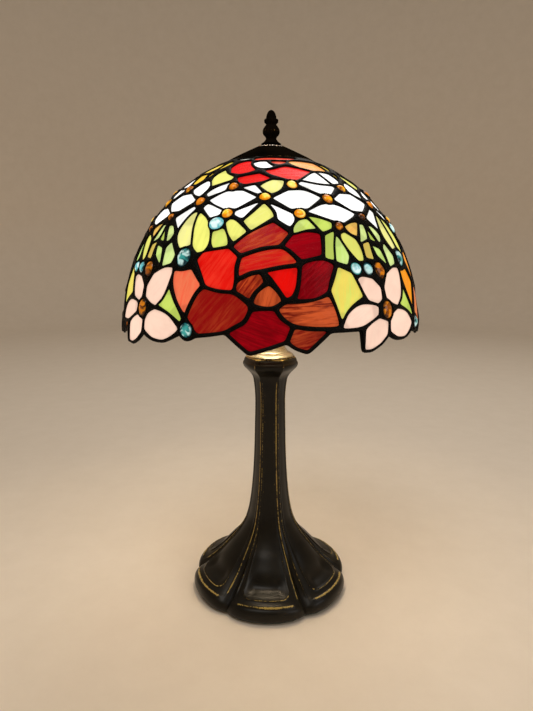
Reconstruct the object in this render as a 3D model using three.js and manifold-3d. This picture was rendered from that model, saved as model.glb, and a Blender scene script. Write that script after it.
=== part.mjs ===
// Table lamp with a leaded glass dome on a cast six-lobed foot.
// Millimetres, +Z up, the front towards -Y, origin on the table under the lamp's axis.

import * as THREE from 'three';
import { mergeVertices } from 'three/addons/utils/BufferGeometryUtils.js';
import Module from 'manifold-3d';

const wasm = await Module();
wasm.setup();

// ---------- driving dimensions ----------

const GAP = 0.3;                  // clearance between pieces that touch
const DOME_RADIUS = 144;          // outer radius of the glass dome at its equator
const DOME_RISE = 168;            // height of the dome's full ellipse above the equator
const EQUATOR_Z = 273;            // height of the equator above the table
const GLASS_THICKNESS = 3;
const REPEATS = 4;                // the glass pattern repeats this many times round the dome
const REPEAT_DEG = 360 / REPEATS;
const LOBES = 6;                  // lobes of the foot
const FELT_THICKNESS = 2;
const FOOT_BOTTOM_Z = FELT_THICKNESS + GAP;
const GROMMET_Z = 11;             // height of the cord outlet at the back of the foot
const NECK_TOP_Z = 248.6;         // top face of the casting
const SADDLE_Z = 264.3;           // underside of the harp saddle
const SADDLE_HALF_WIDTH = 27;     // axis to the middle of a saddle arm
const HARP_TOP_Z = 444;           // centre of the wire at the top of the harp
const WIRE_RADIUS = 1.6;
const PIPE_RADIUS = 4.8;          // M10 lamp pipe
const PIPE_BORE = 3.4;
const PIPE_HOLE = 5.2;            // clearance hole for the pipe
const STUD_RADIUS = 3.1;          // threaded stud on top of the harp
const STUD_HOLE = 3.5;
const SOCKET_TOP_Z = 318;
const BULB_RADIUS = 30;
const FINIAL_TOP_Z = 483;

// Scalloped rim of the shade over one repeat: degrees round from the front, degrees up the dome.
const RIM = [
  [-29.8, 5.2], [-27.1, 3.6], [-24.4, 4.6], [-14, 6.1], [-6.5, 0.7], [4.9, 3.8], [11.4, 1],
  [18.8, 6.5], [29.4, 6.5], [30.6, 0.4], [34.2, 0.3], [42.5, 4.5], [47, 3], [53.3, 2.6],
];
const RIM_CAME_HALF = 1.7;        // half width of the lead along the rim
const RIM_STEP_DEG = 6;           // longest straight stretch of it

// Edges of the glass fields inside one repeat, in the same degrees.
const ROSE_FROM = -22.5;
const ROSE_TO = 24;
const FIELD_TOP = 38;             // top of the rose and of the leaves
const BLOSSOM_TOP = 24;           // between the blossom and the leaves above it
const DAISY_TOP = 56;
const CROWN_TOP = 72.4;

// ---------- materials ----------

function material(color, roughness, metalness) {
  return new THREE.MeshStandardMaterial({ color, roughness, metalness });
}

const MATERIALS = {
  bronze: material(0x2b2418, 0.42, 0.8),
  brass: material(0xb08d45, 0.35, 0.9),
  steel: material(0x9a9a98, 0.4, 0.9),
  felt: material(0x2f2a26, 0.95, 0),
  rubber: material(0x151515, 0.7, 0),
  phenolic: material(0x1d1a18, 0.5, 0),
  card: material(0x8d7a5a, 0.9, 0),
  bulb: material(0xfff1d0, 0.3, 0),
  lead: material(0x14110d, 0.5, 0.7),
  rose: material(0x8a0f12, 0.25, 0),
  blossom: material(0xe29a86, 0.25, 0),
  leaf: material(0xb9a93a, 0.25, 0),
  daisy: material(0xf3ead2, 0.25, 0),
  crown: material(0xd9713c, 0.25, 0),
  blue: material(0x2a3f9a, 0.15, 0),
  amber: material(0x8a4a18, 0.15, 0),
};

// ---------- solids ----------

const group = new THREE.Group();

function addMesh(name, geometry, look) {
  const mesh = new THREE.Mesh(geometry, MATERIALS[look]);
  mesh.name = name;
  group.add(mesh);
  return mesh;
}

function toSolid(geometry) {
  const bare = geometry.index ? geometry.toNonIndexed() : geometry.clone();
  bare.deleteAttribute('normal');
  bare.deleteAttribute('uv');
  const merged = mergeVertices(bare, 1e-4);
  return new wasm.Manifold(new wasm.Mesh({
    numProp: 3,
    vertProperties: Float32Array.from(merged.attributes.position.array),
    triVerts: Uint32Array.from(merged.index.array),
  }));
}

function toGeometry(solid) {
  const mesh = solid.getMesh();
  const geometry = new THREE.BufferGeometry();
  geometry.setAttribute('position', new THREE.BufferAttribute(Float32Array.from(mesh.vertProperties), 3));
  geometry.setIndex(new THREE.BufferAttribute(Uint32Array.from(mesh.triVerts), 1));
  geometry.computeVertexNormals();
  return geometry;
}

// A body of revolution about Z from [radius, height] points. The points run up the outside;
// a profile that doesn't start and end on the axis is closed on itself.
function revolve(profile, segments = 24) {
  const points = profile.map(([r, z]) => new THREE.Vector2(r, z));
  const onAxis = profile[0][0] === 0 && profile[profile.length - 1][0] === 0;
  if (!onAxis) {
    points.push(points[0].clone());
  }
  return new THREE.LatheGeometry(points, segments).rotateX(Math.PI / 2);
}

function tubeProfile(inner, outer, bottom, top) {
  return [[inner, bottom], [outer, bottom], [outer, top], [inner, top]];
}

function rod(radius, bottom, top, segments = 12) {
  return revolve([[0, bottom], [radius, bottom], [radius, top], [0, top]], segments);
}

// A closed body from rings of points, each ring the same length. A ring joins its neighbours;
// the first and last are capped by a fan, or joined to each other when `loop` is true.
function ringsToGeometry(rings, loop = false) {
  const count = rings[0].length;
  const positions = rings.flat(2);
  const indices = [];
  const last = loop ? rings.length : rings.length - 1;
  for (let i = 0; i < last; i += 1) {
    const a = i * count;
    const b = ((i + 1) % rings.length) * count;
    for (let j = 0; j < count; j += 1) {
      const k = (j + 1) % count;
      indices.push(a + j, a + k, b + k, a + j, b + k, b + j);
    }
  }
  if (!loop) {
    const top = (rings.length - 1) * count;
    for (let j = 1; j < count - 1; j += 1) {
      indices.push(0, j + 1, j);
      indices.push(top, top + j, top + j + 1);
    }
  }
  const geometry = new THREE.BufferGeometry();
  geometry.setAttribute('position', new THREE.Float32BufferAttribute(positions, 3));
  geometry.setIndex(indices);
  geometry.computeVertexNormals();
  return geometry;
}

function polar(radius, degrees, z) {
  const angle = THREE.MathUtils.degToRad(degrees);
  return [radius * Math.sin(angle), -radius * Math.cos(angle), z];
}

// ---------- cast foot and stem ----------

// [height and radius in the groove between two lobes, height and radius along a lobe's middle,
// how far the section is a hexagon (1) and not a ring of round lobes (0)]
const CASTING = [
  [2.3, 73, 2.3, 77, 0], [3.3, 76.3, 3.5, 81.2, 0], [6, 77, 8, 82.5, 0], [9, 75.5, 13.5, 81, 0],
  [12.5, 71, 17, 77, 0], [15.5, 66.3, 19.5, 72.5, 0], [20.5, 60, 24.5, 66, 0],
  [28, 53, 32, 56.5, 0], [36, 47, 40, 48.5, 0.2], [44, 41.5, 47.5, 41.8, 0.4],
  [50.5, 37.3, 53, 36.2, 0.6], [58, 32, 60, 30.8, 0.8], [67.5, 27, 68.5, 26, 1],
  [77, 23.9, 77, 22.6, 1], [90.6, 21.2, 90.6, 19.8, 1], [104, 19.4, 104, 18, 1],
  [125, 17.6, 125, 16.2, 1], [150, 16.4, 150, 15, 1], [180, 15.7, 180, 14.3, 1],
  [205, 15.4, 205, 14, 1], [222.6, 17, 222.6, 15.3, 1], [229, 19.5, 229, 17.2, 1],
  [233.1, 23.2, 233.1, 20.6, 1], [237, 26.9, 237, 24.6, 1], [241, 27.8, 241, 26, 1],
  [245.2, 26.6, 245.2, 24, 1], [NECK_TOP_Z, 24.4, NECK_TOP_Z, 21.2, 1],
];
const HALF_LOBE_DEG = 180 / LOBES;
const CASTING_STEPS = 36;
const CASTING_TURN_DEG = -3;      // the casting stands turned a little from the front

// 1 along a lobe's middle, 0 in the groove.
function lobeShare(degrees, hexagon) {
  const pitch = 2 * HALF_LOBE_DEG;
  const off = Math.abs(degrees - Math.round(degrees / pitch) * pitch);
  const round = Math.sqrt(Math.max(0, 1 - (off / HALF_LOBE_DEG) ** 4));
  const secant = (angle) => 1 / Math.cos(THREE.MathUtils.degToRad(angle));
  const flat = 1 - (secant(off) - 1) / (secant(HALF_LOBE_DEG) - 1);
  return round * (1 - hexagon) + flat * hexagon;
}

function castingRing([grooveZ, grooveR, lobeZ, lobeR, hexagon], inset = 0) {
  const ring = [];
  for (let i = 0; i < CASTING_STEPS; i += 1) {
    const degrees = (360 * i) / CASTING_STEPS;
    const share = lobeShare(degrees, hexagon);
    const radius = grooveR + (lobeR - grooveR) * share - inset;
    ring.push(polar(radius, degrees + CASTING_TURN_DEG, grooveZ + (lobeZ - grooveZ) * share));
  }
  return ring;
}

const CAVITY_LEDGE_Z = 60;        // the bottom washer bears up against this ledge
const CAVITY_MOUTH = 69;
const CAVITY = [
  [0, FOOT_BOTTOM_Z - 1], [CAVITY_MOUTH, FOOT_BOTTOM_Z - 1], [CAVITY_MOUTH, 7], [59, 15],
  [45, 30], [33, 46], [26, CAVITY_LEDGE_Z], [9, CAVITY_LEDGE_Z], [9, 226], [PIPE_HOLE, 226],
  [PIPE_HOLE, NECK_TOP_Z + 1], [0, NECK_TOP_Z + 1],
];
const GROMMET_HOLE = 5.3;

function baseCasting() {
  const outside = toSolid(ringsToGeometry(CASTING.map((level) => castingRing(level))));
  const outlet = rod(GROMMET_HOLE, 0, 40).rotateX(-Math.PI / 2).translate(0, 55, GROMMET_Z);
  return toGeometry(outside.subtract(toSolid(revolve(CAVITY))).subtract(toSolid(outlet)));
}

addMesh('base_casting', baseCasting(), 'bronze');

const FELT_LEVEL = [0, 76.3, 0, 80.5, 0];
const FELT_INSET = 3;

function feltPad() {
  const lower = castingRing(FELT_LEVEL, FELT_INSET);
  return ringsToGeometry([lower, lower.map(([x, y]) => [x, y, FELT_THICKNESS])]);
}

addMesh('felt_pad', feltPad(), 'felt');

// Rubber bush in the outlet, its flange outside the wall.
function cordGrommet() {
  const bush = [[3.2, 0], [4.9, 0], [4.9, 16.2], [6.6, 16.2], [6.4, 17.8], [3.2, 17.8]];
  return revolve(bush, 16).rotateX(-Math.PI / 2).translate(0, 66.8, GROMMET_Z);
}

addMesh('cord_grommet', cordGrommet(), 'rubber');

// ---------- pipe and fasteners under the foot ----------

const PIPE_BOTTOM_Z = 46;
const PIPE_TOP_Z = 270.5;
addMesh('lamp_pipe', revolve(tubeProfile(PIPE_BORE, PIPE_RADIUS, PIPE_BOTTOM_Z, PIPE_TOP_Z), 16), 'steel');

const WASHER_THICKNESS = 2;
const WASHER_TOP_Z = CAVITY_LEDGE_Z - GAP;
const WASHER_BOTTOM_Z = WASHER_TOP_Z - WASHER_THICKNESS;
addMesh('bottom_washer', revolve(tubeProfile(PIPE_HOLE, 21, WASHER_BOTTOM_Z, WASHER_TOP_Z)), 'steel');

const NUT_HEIGHT = 5;
const NUT_CORNER_RADIUS = 9.8;
const NUT_TOP_Z = WASHER_BOTTOM_Z - GAP;

function hexNut(top) {
  const blank = toSolid(rod(NUT_CORNER_RADIUS, top - NUT_HEIGHT, top, 6));
  return toGeometry(blank.subtract(toSolid(rod(PIPE_HOLE, top - NUT_HEIGHT - 1, top + 1, 16))));
}

addMesh('lock_nut', hexNut(NUT_TOP_Z), 'steel');

// ---------- neck, saddle and harp ----------

const NECK_CONE = [
  [PIPE_HOLE, 262.6], [10, 262.4], [12.8, 257.5], [21.4, NECK_TOP_Z + GAP],
  [23, NECK_TOP_Z + GAP], [17.6, 253], [14.6, 258], [12.4, SADDLE_Z - GAP], [PIPE_HOLE, SADDLE_Z - GAP],
];
addMesh('neck_cone', revolve(NECK_CONE), 'brass');

const SADDLE_THICKNESS = 1.5;
const SADDLE_SHOULDER_Z = 273;    // the arms narrow here, and the sleeves stand on the shoulders
const SADDLE_TIP_Z = 282;

function box(width, depth, bottom, top, x = 0) {
  return new THREE.BoxGeometry(width, depth, top - bottom).translate(x, 0, (bottom + top) / 2);
}

function harpSaddle() {
  const outerWidth = 2 * SADDLE_HALF_WIDTH + SADDLE_THICKNESS;
  const top = SADDLE_Z + SADDLE_THICKNESS;
  let solid = toSolid(box(outerWidth, 12, SADDLE_Z, top));
  solid = solid.subtract(toSolid(rod(PIPE_HOLE, SADDLE_Z - 1, top + 1, 16)));
  for (const side of [-1, 1]) {
    const x = side * SADDLE_HALF_WIDTH;
    solid = solid.add(toSolid(box(SADDLE_THICKNESS, 8, SADDLE_Z + 0.5, SADDLE_SHOULDER_Z, x)));
    solid = solid.add(toSolid(box(SADDLE_THICKNESS, 4, SADDLE_SHOULDER_Z - 0.5, SADDLE_TIP_Z, x)));
  }
  return toGeometry(solid);
}

addMesh('harp_saddle', harpSaddle(), 'brass');

// Half of the harp's outline from the saddle up to the crown, [x, z].
const HARP_OUTLINE = [
  [SADDLE_HALF_WIDTH, SADDLE_TIP_Z + GAP], [SADDLE_HALF_WIDTH, 291], [SADDLE_HALF_WIDTH, 300],
  [37, 317], [49, 335], [54, 357], [50, 382], [38, 408], [23, 430.5],
  [12, HARP_TOP_Z - 2.6], [6, HARP_TOP_Z - 0.3],
];

function sweep(points, radius, steps, sides, closed = false) {
  const curve = new THREE.CatmullRomCurve3(points, closed, 'centripetal');
  const section = new THREE.Shape();
  for (let i = 0; i < sides; i += 1) {
    const angle = (2 * Math.PI * i) / sides;
    const move = i === 0 ? 'moveTo' : 'lineTo';
    section[move](radius * Math.cos(angle), radius * Math.sin(angle));
  }
  section.closePath();
  return new THREE.ExtrudeGeometry(section, { steps, extrudePath: curve, bevelEnabled: false });
}

function harp() {
  const right = HARP_OUTLINE.map(([x, z]) => new THREE.Vector3(x, 0, z));
  const left = HARP_OUTLINE.map(([x, z]) => new THREE.Vector3(-x, 0, z)).reverse();
  return sweep([...right, ...left], WIRE_RADIUS, 48, 6);
}

addMesh('harp', harp(), 'brass');

const STUD_PLATE_Z = HARP_TOP_Z + WIRE_RADIUS + GAP;
const STUD_TOP_Z = 461.5;
const CAP_SEAT_Z = STUD_PLATE_Z + 1.7 + GAP;
const HARP_STUD = [
  [0, STUD_PLATE_Z], [8, STUD_PLATE_Z], [8, STUD_PLATE_Z + 1.7], [STUD_RADIUS, STUD_PLATE_Z + 1.7],
  [STUD_RADIUS, STUD_TOP_Z], [0, STUD_TOP_Z],
];
addMesh('harp_stud', revolve(HARP_STUD, 16), 'brass');

const SLEEVE_BOTTOM_Z = SADDLE_SHOULDER_Z + GAP;
const SLEEVE_LENGTH = 15;

for (const [side, name] of [[-1, 'harp_sleeve_left'], [1, 'harp_sleeve_right']]) {
  const profile = tubeProfile(2.6, 3.9, SLEEVE_BOTTOM_Z, SLEEVE_BOTTOM_Z + SLEEVE_LENGTH);
  const sleeve = addMesh(name, revolve(profile, 12), 'brass');
  sleeve.position.x = side * SADDLE_HALF_WIDTH;
}

// ---------- socket ----------

const CAP_BOTTOM_Z = SADDLE_Z + SADDLE_THICKNESS + GAP;
const SOCKET_CAP = [
  [PIPE_HOLE, 271], [PIPE_HOLE, CAP_BOTTOM_Z], [7.5, CAP_BOTTOM_Z], [8.3, 269.5], [13.5, 272.5],
  [17.2, 276], [18.3, 280], [18.3, 284], [17.5, 284], [17.5, 280.1], [16.4, 276.9], [13, 273.6],
];
addMesh('socket_cap', revolve(SOCKET_CAP), 'brass');
addMesh('socket_shell', revolve(tubeProfile(16.4, 17.2, 280.5, SOCKET_TOP_Z)), 'brass');
addMesh('socket_liner', revolve(tubeProfile(15.2, 16, 286, SOCKET_TOP_Z - 1)), 'card');
addMesh('socket_body', rod(14.8, 280.8, 285, 16), 'phenolic');
addMesh('screw_shell', revolve(tubeProfile(13.5, 14.2, 291, 315.5), 20), 'brass');
addMesh('centre_contact', box(9, 4, 285 + GAP, 286.2), 'brass');

// ---------- bulb ----------

const BULB_BASE = [[8.9, 289.6], [13, 292], [13, 315], [12.2, 315], [12.2, 293], [8.9, 291]];
addMesh('bulb_base', revolve(BULB_BASE, 20), 'steel');

const BULB_TIP = [[0, 286.5], [4.5, 286.7], [4.9, 288], [8.5, 289.3], [8.5, 290.8], [0, 290.8]];
addMesh('bulb_tip', revolve(BULB_TIP, 16), 'phenolic');

const BULB_CENTRE_Z = 367;
const BULB_WALL = 0.9;
const BULB_NECK_Z = 315 + GAP;

// Outline of the envelope from the neck to near the top, moved in by `inset`.
function bulbOutline(inset) {
  const radius = BULB_RADIUS - inset;
  const outline = [[13 - inset, BULB_NECK_Z], [14 - inset, 322], [18.6 - inset, 335], [25.5 - inset, 349.5]];
  for (let degrees = -18; degrees <= 72; degrees += 18) {
    const angle = THREE.MathUtils.degToRad(degrees);
    outline.push([radius * Math.cos(angle), BULB_CENTRE_Z + radius * Math.sin(angle)]);
  }
  outline.push([0, BULB_CENTRE_Z + radius]);
  return outline;
}

function bulbGlass() {
  const outside = toSolid(revolve([[0, BULB_NECK_Z], ...bulbOutline(0)], 16));
  const inside = toSolid(revolve([[0, BULB_NECK_Z - 1], [13 - BULB_WALL, BULB_NECK_Z - 1],
    ...bulbOutline(BULB_WALL)], 16));
  return toGeometry(outside.subtract(inside));
}

addMesh('bulb_glass', bulbGlass(), 'bulb');

// ---------- shade ----------

// A point of the dome: degrees round from the front, degrees up, depth under the outer surface.
function domePoint(around, up, depth) {
  const angle = THREE.MathUtils.degToRad(up);
  const normal = new THREE.Vector2(Math.cos(angle) / DOME_RADIUS, Math.sin(angle) / DOME_RISE).normalize();
  const radius = DOME_RADIUS * Math.cos(angle) - depth * normal.x;
  return polar(radius, around, EQUATOR_Z + DOME_RISE * Math.sin(angle) - depth * normal.y);
}

const MM_PER_DEG_UP = THREE.MathUtils.degToRad(DOME_RISE);
const MM_PER_DEG_ROUND = THREE.MathUtils.degToRad(DOME_RADIUS);

// The rim moved up the dome by a distance in millimetres, over three repeats in a row.
function raisedRim(distance) {
  const row = [-1, 0, 1].flatMap((turn) => RIM.map(([round, up]) => [round + turn * REPEAT_DEG, up]));
  return row.map((point, i) => {
    const before = row[Math.max(i - 1, 0)];
    const after = row[Math.min(i + 1, row.length - 1)];
    const along = (from, to) => new THREE.Vector2(
      (to[0] - from[0]) * MM_PER_DEG_ROUND, (to[1] - from[1]) * MM_PER_DEG_UP).normalize();
    const first = i === 0 ? along(point, after) : along(before, point);
    const second = i === row.length - 1 ? first : along(point, after);
    const middle = first.clone().add(second).normalize();
    const reach = distance / Math.max(0.5, middle.dot(first));
    return [point[0] - (middle.y * reach) / MM_PER_DEG_ROUND, point[1] + (middle.x * reach) / MM_PER_DEG_UP];
  });
}

const GLASS_EDGE = raisedRim(RIM_CAME_HALF * 1.45 + GAP);

function edgeAt(around) {
  const next = GLASS_EDGE.findIndex((point) => point[0] > around);
  const [a, b] = [GLASS_EDGE[next - 1], GLASS_EDGE[next]];
  return a[1] + ((b[1] - a[1]) * (around - a[0])) / (b[0] - a[0]);
}

function evenly(from, to, count) {
  return Array.from({ length: count + 1 }, (_, i) => from + ((to - from) * i) / count);
}

// A curved field of glass: columns of degrees round, and the field's lower and upper edges there.
function glassField(columns, lower, upper, rows) {
  const section = (around) => {
    const ups = evenly(lower(around), upper, rows);
    const outer = ups.map((up) => domePoint(around, up, 0)).reverse();
    const inner = ups.map((up) => domePoint(around, up, GLASS_THICKNESS));
    return [...inner, ...outer];
  };
  return ringsToGeometry(columns.map(section));
}

const SEAM_DEG = 0.25;            // half of the seam between two fields, degrees

function rimColumns(from, to) {
  const inside = GLASS_EDGE.map((point) => point[0]).filter((around) => around > from + 0.6 && around < to - 0.6);
  return [from + SEAM_DEG, ...inside, to - SEAM_DEG];
}

const BLOSSOM_TO = ROSE_FROM + REPEAT_DEG;
const LEAF_COLUMNS = evenly(ROSE_TO + SEAM_DEG, BLOSSOM_TO - SEAM_DEG, 6);
const BAND_COLUMNS = evenly(ROSE_FROM + 2 * SEAM_DEG, BLOSSOM_TO - 2 * SEAM_DEG, 10);

const FIELDS = [
  ['rose_glass', 'rose', () => glassField(rimColumns(ROSE_FROM, ROSE_TO), edgeAt, FIELD_TOP - SEAM_DEG, 3)],
  ['blossom_glass', 'blossom',
    () => glassField(rimColumns(ROSE_TO, BLOSSOM_TO), edgeAt, BLOSSOM_TOP - SEAM_DEG, 2)],
  ['leaf_glass', 'leaf',
    () => glassField(LEAF_COLUMNS, () => BLOSSOM_TOP + SEAM_DEG, FIELD_TOP - SEAM_DEG, 1)],
  ['daisy_glass', 'daisy', () => glassField(BAND_COLUMNS, () => FIELD_TOP + SEAM_DEG, DAISY_TOP - SEAM_DEG, 2)],
  ['crown_glass', 'crown', () => glassField(BAND_COLUMNS, () => DAISY_TOP + SEAM_DEG, CROWN_TOP, 2)],
];

// Cabochons set into holes in the fields: name, look, place on the dome, half axes.
const JEWELS = [
  { name: 'blue_jewel', look: 'blue', around: 58.2, up: 26, across: 7.6, along: 7.6, half: 3.2 },
  { name: 'blossom_jewel', look: 'amber', around: 41.7, up: 11.2, across: 7.7, along: 6.6, half: 3.2 },
];
const JEWEL_HOLE_EXTRA = 0.5;

function placedOnDome(geometry, { around, up }) {
  const outward = new THREE.Vector3(...domePoint(around, up, -1))
    .sub(new THREE.Vector3(...domePoint(around, up, 0))).normalize();
  const turn = new THREE.Quaternion().setFromUnitVectors(new THREE.Vector3(0, 0, 1), outward);
  const centre = new THREE.Vector3(...domePoint(around, up, GLASS_THICKNESS / 2));
  return geometry.applyQuaternion(turn).translate(centre.x, centre.y, centre.z);
}

function jewelHole(jewel) {
  const plug = rod(1, -10, 10, 14);
  plug.scale(jewel.across + JEWEL_HOLE_EXTRA, jewel.along + JEWEL_HOLE_EXTRA, 1);
  return toSolid(placedOnDome(plug, jewel));
}

function cabochon(jewel) {
  const stone = new THREE.SphereGeometry(1, 14, 6).rotateX(Math.PI / 2);
  stone.scale(jewel.across, jewel.along, jewel.half);
  return placedOnDome(stone, jewel);
}

const holes = JEWELS.map(jewelHole);

for (let turn = 0; turn < REPEATS; turn += 1) {
  const angle = THREE.MathUtils.degToRad(turn * REPEAT_DEG);
  for (const [name, look, build] of FIELDS) {
    let solid = toSolid(build());
    for (const hole of holes) {
      solid = solid.subtract(hole);
    }
    addMesh(`${name}_${turn + 1}`, toGeometry(solid), look).rotation.z = angle;
  }
  for (const jewel of JEWELS) {
    addMesh(`${jewel.name}_${turn + 1}`, cabochon(jewel), jewel.look).rotation.z = angle;
  }
}

// Lead along one repeat of the scalloped rim, a diamond section whose corners follow the dome.
function rimCame() {
  const outline = [...RIM, [RIM[0][0] + REPEAT_DEG, RIM[0][1]]];
  const depth = GLASS_THICKNESS / 2;
  const rise = RIM_CAME_HALF / MM_PER_DEG_UP;
  const section = (round, up) => [
    domePoint(round, up - rise, depth), domePoint(round, up, depth + RIM_CAME_HALF),
    domePoint(round, up + rise, depth), domePoint(round, up, depth - RIM_CAME_HALF),
  ];
  const sections = [];
  for (let i = 0; i < RIM.length; i += 1) {
    const [from, to] = [outline[i], outline[i + 1]];
    const steps = Math.ceil((to[0] - from[0]) / RIM_STEP_DEG);
    for (let k = 0; k < steps; k += 1) {
      sections.push(section(from[0] + ((to[0] - from[0]) * k) / steps, from[1] + ((to[1] - from[1]) * k) / steps));
    }
  }
  const [round, up] = outline[RIM.length];
  sections.push(section(round - 2 * SEAM_DEG, up));
  return ringsToGeometry(sections);
}

for (let turn = 0; turn < REPEATS; turn += 1) {
  const came = addMesh(`rim_came_${turn + 1}`, rimCame(), 'lead');
  came.rotation.z = THREE.MathUtils.degToRad(turn * REPEAT_DEG);
}

addMesh('crown_ring', revolve(tubeProfile(38.5, 41.9, 429.6, 432.8), 36), 'brass');

const CAP_THICKNESS = 1.5;
const VENTED_CAP = [
  [STUD_HOLE, CAP_SEAT_Z], [11, CAP_SEAT_Z], [19.5, 444.8], [29.5, 440], [35.6, 436.9], [41.2, 433.2],
  [42.6, 433.2], [42.6, 434.4], [36.2, 438.5], [30, 441.5], [20, 446.3], [12, CAP_SEAT_Z + CAP_THICKNESS],
  [STUD_HOLE, CAP_SEAT_Z + CAP_THICKNESS],
];
const VENTS = 10;
const VENT_CIRCLE = 14.8;
const VENT_RADIUS = 1.5;

function ventedCap() {
  let solid = toSolid(revolve(VENTED_CAP, 24));
  for (let i = 0; i < VENTS; i += 1) {
    const [x, y] = polar(VENT_CIRCLE, (360 * (i + 0.5)) / VENTS, 0);
    solid = solid.subtract(toSolid(rod(VENT_RADIUS, 440, 456, 6).translate(x, y, 0)));
  }
  return toGeometry(solid);
}

addMesh('vented_cap', ventedCap(), 'bronze');

// ---------- finial ----------

const WASHER_Z = CAP_SEAT_Z + CAP_THICKNESS + GAP;
addMesh('finial_washer', revolve(tubeProfile(STUD_HOLE, 8.5, WASHER_Z, WASHER_Z + 1), 20), 'brass');

const FINIAL_Z = WASHER_Z + 1 + GAP;
const FINIAL_BORE_TOP_Z = 462.5;
const FINIAL = [
  [0, FINIAL_BORE_TOP_Z], [STUD_HOLE, FINIAL_BORE_TOP_Z], [STUD_HOLE, FINIAL_Z], [9.4, FINIAL_Z],
  [9.2, 452.8], [6.8, 454.4], [5.1, 457.2], [7, 460.2], [8.1, 463.3], [7.4, 466.4],
  [4.9, 469.8], [6.6, 472], [6.6, 473.6], [4.9, 475], [4.4, 477.6], [2.7, 481.4], [0, FINIAL_TOP_Z],
];
addMesh('finial', revolve(FINIAL, 20), 'bronze');

export default group;
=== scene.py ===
"""Stained glass table lamp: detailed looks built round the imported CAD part.

Lengths are millimetres until a mesh is made, then metres. Degrees round the dome are counted from
the front (-Y) towards +X. Degrees up the dome are counted from the level where it is widest.
"""
import math
import random

import bpy
import numpy as np
from mathutils import Matrix, Vector, geometry


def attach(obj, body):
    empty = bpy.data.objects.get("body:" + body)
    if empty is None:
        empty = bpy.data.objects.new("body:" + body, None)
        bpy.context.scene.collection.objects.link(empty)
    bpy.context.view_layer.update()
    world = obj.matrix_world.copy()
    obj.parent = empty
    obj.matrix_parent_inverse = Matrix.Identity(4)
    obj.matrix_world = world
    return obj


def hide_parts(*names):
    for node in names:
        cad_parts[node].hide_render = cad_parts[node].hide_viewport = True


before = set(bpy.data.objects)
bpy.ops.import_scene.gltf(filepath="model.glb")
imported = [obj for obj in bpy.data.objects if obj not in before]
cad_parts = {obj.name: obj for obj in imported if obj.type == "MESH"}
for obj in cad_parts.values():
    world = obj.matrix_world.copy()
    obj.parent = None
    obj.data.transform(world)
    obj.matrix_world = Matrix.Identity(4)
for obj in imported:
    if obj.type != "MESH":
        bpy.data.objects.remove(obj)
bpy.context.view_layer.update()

MM = 0.001
scene = bpy.context.scene
scene.view_settings.view_transform = "Standard"

# ---------------------------------------------------------------- camera

CAMERA_PLACE = Vector((0, -0.5365, 0.347))
CAMERA_DOWN_DEG = 10.43
CAMERA_ROLL_DEG = 0.2
CAMERA_LENS = 27.09
CAMERA_SHIFT = -0.0055

camera_data = bpy.data.cameras.new("camera")
camera_data.lens = CAMERA_LENS
camera_data.sensor_width = 36
camera_data.shift_x = CAMERA_SHIFT
camera_data.dof.use_dof = False
camera = bpy.data.objects.new("camera", camera_data)
scene.collection.objects.link(camera)
tilt = Matrix.Rotation(math.radians(90 - CAMERA_DOWN_DEG), 4, "X")
roll = Matrix.Rotation(math.radians(CAMERA_ROLL_DEG), 4, "Z")
camera.matrix_world = Matrix.Translation(CAMERA_PLACE) @ tilt @ roll
scene.camera = camera

# ---------------------------------------------------------------- materials


def srgb(red, green, blue):
    """A colour given as 0 to 255 on a screen, as the linear colour that shaders use."""
    levels = [((c / 255 + 0.055) / 1.055) ** 2.4 if c > 10 else c / 255 / 12.92 for c in (red, green, blue)]
    return tuple(levels) + (1,)


class Shader:
    """A material with a Principled shader and short ways to add and join nodes."""

    def __init__(self, name, **values):
        self.material = bpy.data.materials.new(name)
        self.material.use_nodes = True
        self.tree = self.material.node_tree
        self.bsdf = self.tree.nodes["Principled BSDF"]
        for key, value in values.items():
            self.bsdf.inputs[key.replace("_", " ")].default_value = value

    def node(self, kind, inputs=None, **settings):
        """A new node; each input gets a link or a fixed value."""
        made = self.tree.nodes.new("ShaderNode" + kind)
        for key, value in settings.items():
            setattr(made, key, value)
        for key, value in (inputs or {}).items():
            if isinstance(value, bpy.types.NodeSocket):
                self.tree.links.new(value, made.inputs[key])
            else:
                made.inputs[key].default_value = value
        return made

    def link(self, output, key):
        self.tree.links.new(output, self.bsdf.inputs[key])

    def place(self):
        return self.node("TexCoord").outputs["Object"]

    def noise(self, vector, scale, detail=3.0, rough=0.55, twist=0.0):
        return self.node("TexNoise", {"Vector": vector, "Scale": scale, "Detail": detail,
                                      "Roughness": rough, "Distortion": twist}).outputs["Fac"]

    def ramp(self, value, *stops):
        """Maps a 0 to 1 value through (position, brightness or colour) stops."""
        made = self.node("ValToRGB", {"Fac": value})
        elements = made.color_ramp.elements
        while len(elements) < len(stops):
            elements.new(0.5)
        for element, (position, colour) in zip(elements, stops):
            element.position = position
            element.color = colour if isinstance(colour, tuple) else (colour, colour, colour, 1)
        return made.outputs["Color"]

    def mix(self, amount, first, second, blend="MIX"):
        made = self.node("Mix", {0: amount, 6: first, 7: second}, data_type="RGBA", blend_type=blend)
        return made.outputs[2]

    def maths(self, operation, first, second=0.0):
        return self.node("Math", {0: first, 1: second}, operation=operation).outputs[0]

    def times(self, first, second):
        return self.maths("MULTIPLY", first, second)

    def plus(self, first, second):
        return self.maths("ADD", first, second)

    def stretched(self, vector, factors):
        """The coordinates with each axis scaled by its own factor."""
        return self.node("VectorMath", {0: vector, 1: factors}, operation="MULTIPLY").outputs[0]

    def attribute(self, name, output="Color"):
        return self.node("Attribute", attribute_name=name).outputs[output]

    def bump(self, height, strength, distance=0.0004):
        made = self.node("Bump", {"Height": height, "Strength": strength, "Distance": distance})
        self.link(made.outputs["Normal"], "Normal")


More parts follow.
